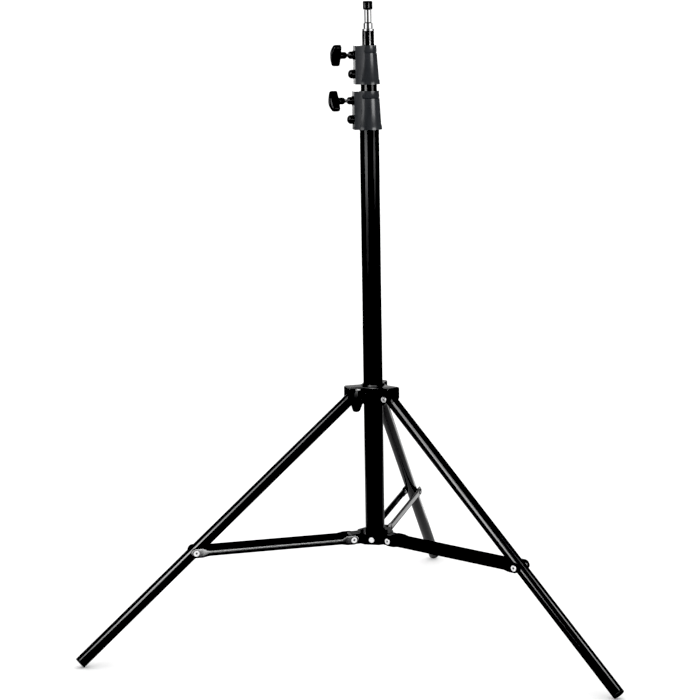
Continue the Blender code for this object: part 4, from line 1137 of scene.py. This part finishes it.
def hub_screw():
    """A domed fixing screw with a hexagon socket."""
    tip = MAIN_RADIUS + SEAT_GAP
    head_seat = HUB_FLAT_RADIUS + SEAT_GAP
    head_end = head_seat + HUB_SCREW_HEAD_THICKNESS
    body = along_x(turned([
        (0.0, tip),
        (HUB_SCREW_RADIUS, tip),
        (HUB_SCREW_RADIUS, head_seat),
        (HUB_SCREW_HEAD_RADIUS, head_seat),
        (HUB_SCREW_HEAD_RADIUS, head_end - HUB_SCREW_HEAD_THICKNESS / 2),
        (HUB_SCREW_HEAD_RADIUS - HUB_SCREW_HEAD_THICKNESS / 2, head_end),
        (0.0, head_end),
    ], FITTING_STEPS, HUB_SCREW_RIM))
    socket = along_x(rod(
        HUB_SCREW_SOCKET_RADIUS, head_end - HUB_SCREW_SOCKET_DEPTH, head_end + SEAT_GAP,
        HUB_SCREW_SOCKET_SIDES,
    ))
    return combined(body, socket, "DIFFERENCE")


def dress_hidden():
    """The pieces inside the tubes keep their solids and get their real finish."""
    for node, finish in (
        ("middle_guide_bush", WHITE_NYLON),
        ("top_guide_bush", WHITE_NYLON),
        ("column_plug", RUBBER),
    ):
        node_object = frame["nodes"][node]
        node_object.data.materials.clear()
        node_object.data.materials.append(finish)


# Room, light and camera


def make_floor():
    mesh = bpy.data.meshes.new("floor")
    half = FLOOR_HALF_WIDTH
    corners = [(-half, -half, 0.0), (half, -half, 0.0), (half, half, 0.0), (-half, half, 0.0)]
    mesh.from_pydata(corners, [], [(0, 1, 2, 3)])
    floor = bpy.data.objects.new("floor", mesh)
    bpy.context.scene.collection.objects.link(floor)
    mesh.materials.append(material("floor_white", FLOOR_COLOUR, roughness=0.9, specular=0.1)[0])
    floor.visible_glossy = False


def panel(name, centre, facing, width, height, radiance, only):
    """A rectangle of light that no camera sees. With words in only, it lights those pieces alone."""
    data = bpy.data.lights.new(name, "AREA")
    data.shape = "RECTANGLE"
    data.size = width
    data.size_y = height
    data.energy = radiance * math.pi * width * height
    light = bpy.data.objects.new(name, data)
    bpy.context.scene.collection.objects.link(light)
    light.location = centre
    light.rotation_euler = Vector(facing).to_track_quat("-Z", "Y").to_euler()
    light.visible_camera = False
    if only:
        receivers = bpy.data.collections.new(name + "_receivers")
        for shown in bpy.data.objects:
            if shown.type == "MESH" and any(word in shown.name for word in only):
                receivers.objects.link(shown)
        light.light_linking.receiver_collection = receivers
    return light


def keep_to_gloss(light):
    """Makes a light show in reflections alone."""
    light.visible_diffuse = False
    light.visible_shadow = False


def softbox(name, azimuth, distance, low, high, width, radiance, only):
    """A panel facing the column: azimuth 0 is towards the camera, positive to its right."""
    turn = math.radians(azimuth)
    outward = Vector((math.sin(turn), -math.cos(turn), 0.0))
    centre = Vector((AXIS_X, AXIS_Y, (low + high) / 2)) + outward * distance
    return panel(name, centre, -outward, width, high - low, radiance, only)


def card(name, offset, facing, width, height, radiance, only):
    """A white card that only shiny surfaces see, placed from the column's axis and the floor."""
    centre = (AXIS_X + offset[0], AXIS_Y + offset[1], offset[2])
    keep_to_gloss(panel(name, centre, facing, width, height, radiance, only))


def make_world():
    """A white room that shiny surfaces see as dim, so that the panels draw their highlights."""
    world = bpy.data.worlds.new("studio")
    bpy.context.scene.world = world
    world.use_nodes = True
    tree = world.node_tree
    back = tree.nodes["Background"]
    back.inputs["Color"].default_value = (1.0, 1.0, 1.0, 1.0)
    path = tree.nodes.new("ShaderNodeLightPath")
    strength = tree.nodes.new("ShaderNodeMapRange")
    strength.inputs["To Min"].default_value = WORLD_STRENGTH
    strength.inputs["To Max"].default_value = WORLD_GLOSSY_STRENGTH
    tree.links.new(path.outputs["Is Glossy Ray"], strength.inputs["Value"])
    tree.links.new(strength.outputs["Result"], back.inputs["Strength"])


# Words in the names of the pieces that a light reaches
CLAMP_FITTINGS = ("lower_lock_knob", "upper_lock_knob", "cap_bolt", "lock_nut", "stud_cap")
CASTINGS = ("leg_collar", "hub_cast")
LEFT_UPPER_LIT = ("leg_tube", "leg_eye", "foot", "knob", "cap_bolt", "lock_nut") + CASTINGS
FLOOR_LIT = ("leg_tube", "main_tube", "leg_eye", "foot") + CASTINGS
BACK_LIT = ("_tube", "clamp_moulded", "lock_knob", "cap_bolt", "leg_eye")
STEEL = ("rivet", "leg_pin", "screw_turned")
BRIGHT_STEEL = ("stud_turned", "lower_lock_screw", "upper_lock_screw")

# name, azimuth in degrees, distance, low, high, width, radiance, lit pieces
SOFTBOXES = (
    ("left_main_high", -43.0, 1.5, 0.72, 0.88, 0.90, 4.8, ("main_tube",)),
    ("left_main_middle", -43.0, 1.5, 0.655, 0.72, 0.90, 3.4, ("main_tube",)),
    ("left_main_low", -43.0, 1.5, 0.42, 0.655, 0.90, 0.7, ("main_tube", "collar_lock_knob")),
    ("right_main_high", 56.0, 1.35, 0.72, 0.86, 0.60, 2.6, ("main_tube",)),
    ("right_main_low", 56.0, 1.35, 0.62, 0.72, 0.60, 0.6, ("main_tube",)),
    ("left_middle_tube", -43.0, 1.5, 0.62, 1.02, 0.80, 8.5, ("middle_tube",)),
    ("right_middle_tube", 54.0, 1.35, 0.62, 1.02, 0.60, 5.3, ("middle_tube",)),
    ("left_top_tube", -69.0, 1.3, 0.83, 1.03, 0.60, 16.0, ("top_tube",)),
    ("right_top_tube", 37.0, 1.35, 0.83, 1.04, 0.60, 46.0, ("top_tube",)),
    ("left_clamps", -66.0, 1.3, 0.74, 1.20, 0.75, 3.0, ("clamp_moulded",)),
    ("right_clamps", 44.0, 1.35, 0.74, 1.20, 0.75, 7.8, ("clamp_moulded",)),
    ("left_fittings", -72.0, 1.3, 0.84, 1.03, 0.50, 6.0, CLAMP_FITTINGS),
    ("right_fittings", 27.0, 1.35, 0.84, 1.04, 0.36, 13.0, CLAMP_FITTINGS),
    ("left_upper", -43.0, 1.5, 1.06, 2.70, 0.85, 8.0, LEFT_UPPER_LIT),
    ("left_leg", -45.0, 1.5, 0.70, 1.36, 0.75, 11.5, ("left_leg_tube",)),
    ("right_leg", -43.0, 1.5, 0.46, 1.15, 0.60, 13.5, ("right_leg_tube",)),
    ("back_leg", -38.0, 1.5, 0.96, 1.36, 0.55, 12.0, ("back_leg_tube",)),
    ("right_leg_side", 58.0, 1.35, 1.20, 1.75, 0.60, 10.0, ("right_leg_tube",)),
    ("right_leg_side_top", 58.0, 1.35, 1.75, 2.15, 0.60, 10.0, ("right_leg_tube",)),
    ("back_leg_side", 66.0, 0.75, 1.25, 1.95, 0.50, 5.0, ("back_leg_tube",)),
    ("behind", 180.0, 1.5, 0.25, 1.60, 0.90, 4.0, BACK_LIT),
)

# name, azimuth in degrees, width
STEEL_RINGS = (
    ("ring_front_left", -45.0, 0.34),
    ("ring_front_right", 53.0, 0.51),
    ("ring_back_left", -146.0, 0.68),
    ("ring_back_right", 150.0, 0.55),
)

UP = (0.0, 0.0, 1.0)
DOWN = (0.0, 0.0, -1.0)
FORWARD = (0.0, -1.0, 0.0)

# name, place from the column's axis and the floor, facing, width, height, radiance, lit pieces
CARDS = (
    ("back_card", (0.0, 2.0, 0.80), FORWARD, 1.6, 0.44, 0.85, ("leg_collar", "back_brace_bar")),
    ("hub_card", (0.0, 2.0, 0.80), FORWARD, 1.6, 0.44, 0.32, ("hub_cast",)),
    ("back_left_card", (-0.68, 1.38, 0.86), (0.44, -0.9, 0.0), 0.6, 0.3, 1.3, ()),
    ("overhead", (0.0, -0.25, 2.2), DOWN, 1.8, 1.5, 3.0, CASTINGS),
    ("floor_card", (0.05, 0.95, 0.002), UP, 1.7, 1.7, 0.34, FLOOR_LIT),
    ("back_leg_floor_card", (0.62, 1.15, 0.003), UP, 0.8, 1.2, 1.6, ("leg_tube",)),
    ("back_bar_card", (0.62, 1.15, 0.004), UP, 0.8, 1.2, 1.1, ("back_brace_bar_a",)),
    ("left_bar_card", (0.35, -0.84, 0.003), UP, 1.2, 0.24, 36.0, ("left_brace_bar",)),
    ("steel_card", (0.0, -1.6, 0.75), (0.0, 1.0, -0.2), 2.6, 1.5, 1.8, STEEL),
    ("steel_floor_card", (-0.5, -1.1, 0.002), UP, 4.0, 2.6, 1.0, STEEL),
)


def make_lights():
    for row in SOFTBOXES:
        softbox(*row)
    for name, azimuth, width in STEEL_RINGS:
        keep_to_gloss(softbox(
            name, azimuth, RING_DISTANCE, RING_LOW, RING_HIGH, width, RING_RADIANCE, BRIGHT_STEEL,
        ))
    for row in CARDS:
        card(*row)


def set_tones():
    """The photograph's clipped blacks."""
    view = bpy.context.scene.view_settings
    view.view_transform = "Standard"
    view.use_curve_mapping = True
    view.curve_mapping.black_level = (BLACK_LEVEL, BLACK_LEVEL, BLACK_LEVEL)
    view.curve_mapping.update()


def make_camera():
    data = bpy.data.cameras.new("camera")
    data.sensor_width = CAMERA_SENSOR
    data.lens = CAMERA_LENS
    data.clip_end = CAMERA_REACH
    camera = bpy.data.objects.new("camera", data)
    bpy.context.scene.collection.objects.link(camera)
    place = Matrix.Translation((AXIS_X + CAMERA_X, AXIS_Y + CAMERA_Y, CAMERA_Z))
    pan = Matrix.Rotation(CAMERA_PAN, 4, "Z")
    tilt = Matrix.Rotation(QUARTER_TURN - CAMERA_TILT_DOWN, 4, "X")
    camera.matrix_world = place @ (pan @ tilt) @ Matrix.Rotation(CAMERA_ROLL, 4, "Z")
    bpy.context.scene.camera = camera


def main():
    for old in list(bpy.data.objects):
        if old.type in {"LIGHT", "CAMERA"}:
            bpy.data.objects.remove(old, do_unlink=True)
    make_column()
    make_stud()
    lower, upper = height_of("lower_clamp", False), height_of("upper_clamp", False)
    make_clamp(
        "lower", lower, MAIN_RADIUS, MIDDLE_RADIUS, LOWER_LOCK_SHOWING, LOWER_KNOB_TURN,
        "column",
    )
    make_clamp(
        "upper", upper, MIDDLE_RADIUS, TOP_RADIUS, UPPER_LOCK_SHOWING, UPPER_KNOB_TURN,
        "middle_riser",
    )
    make_collar()
    for name, azimuth in LEG_AZIMUTHS.items():
        make_leg(name, azimuth)
        make_brace(name, azimuth)
    make_hub()
    dress_hidden()
    make_floor()
    make_world()
    make_lights()
    make_camera()
    set_tones()


main()
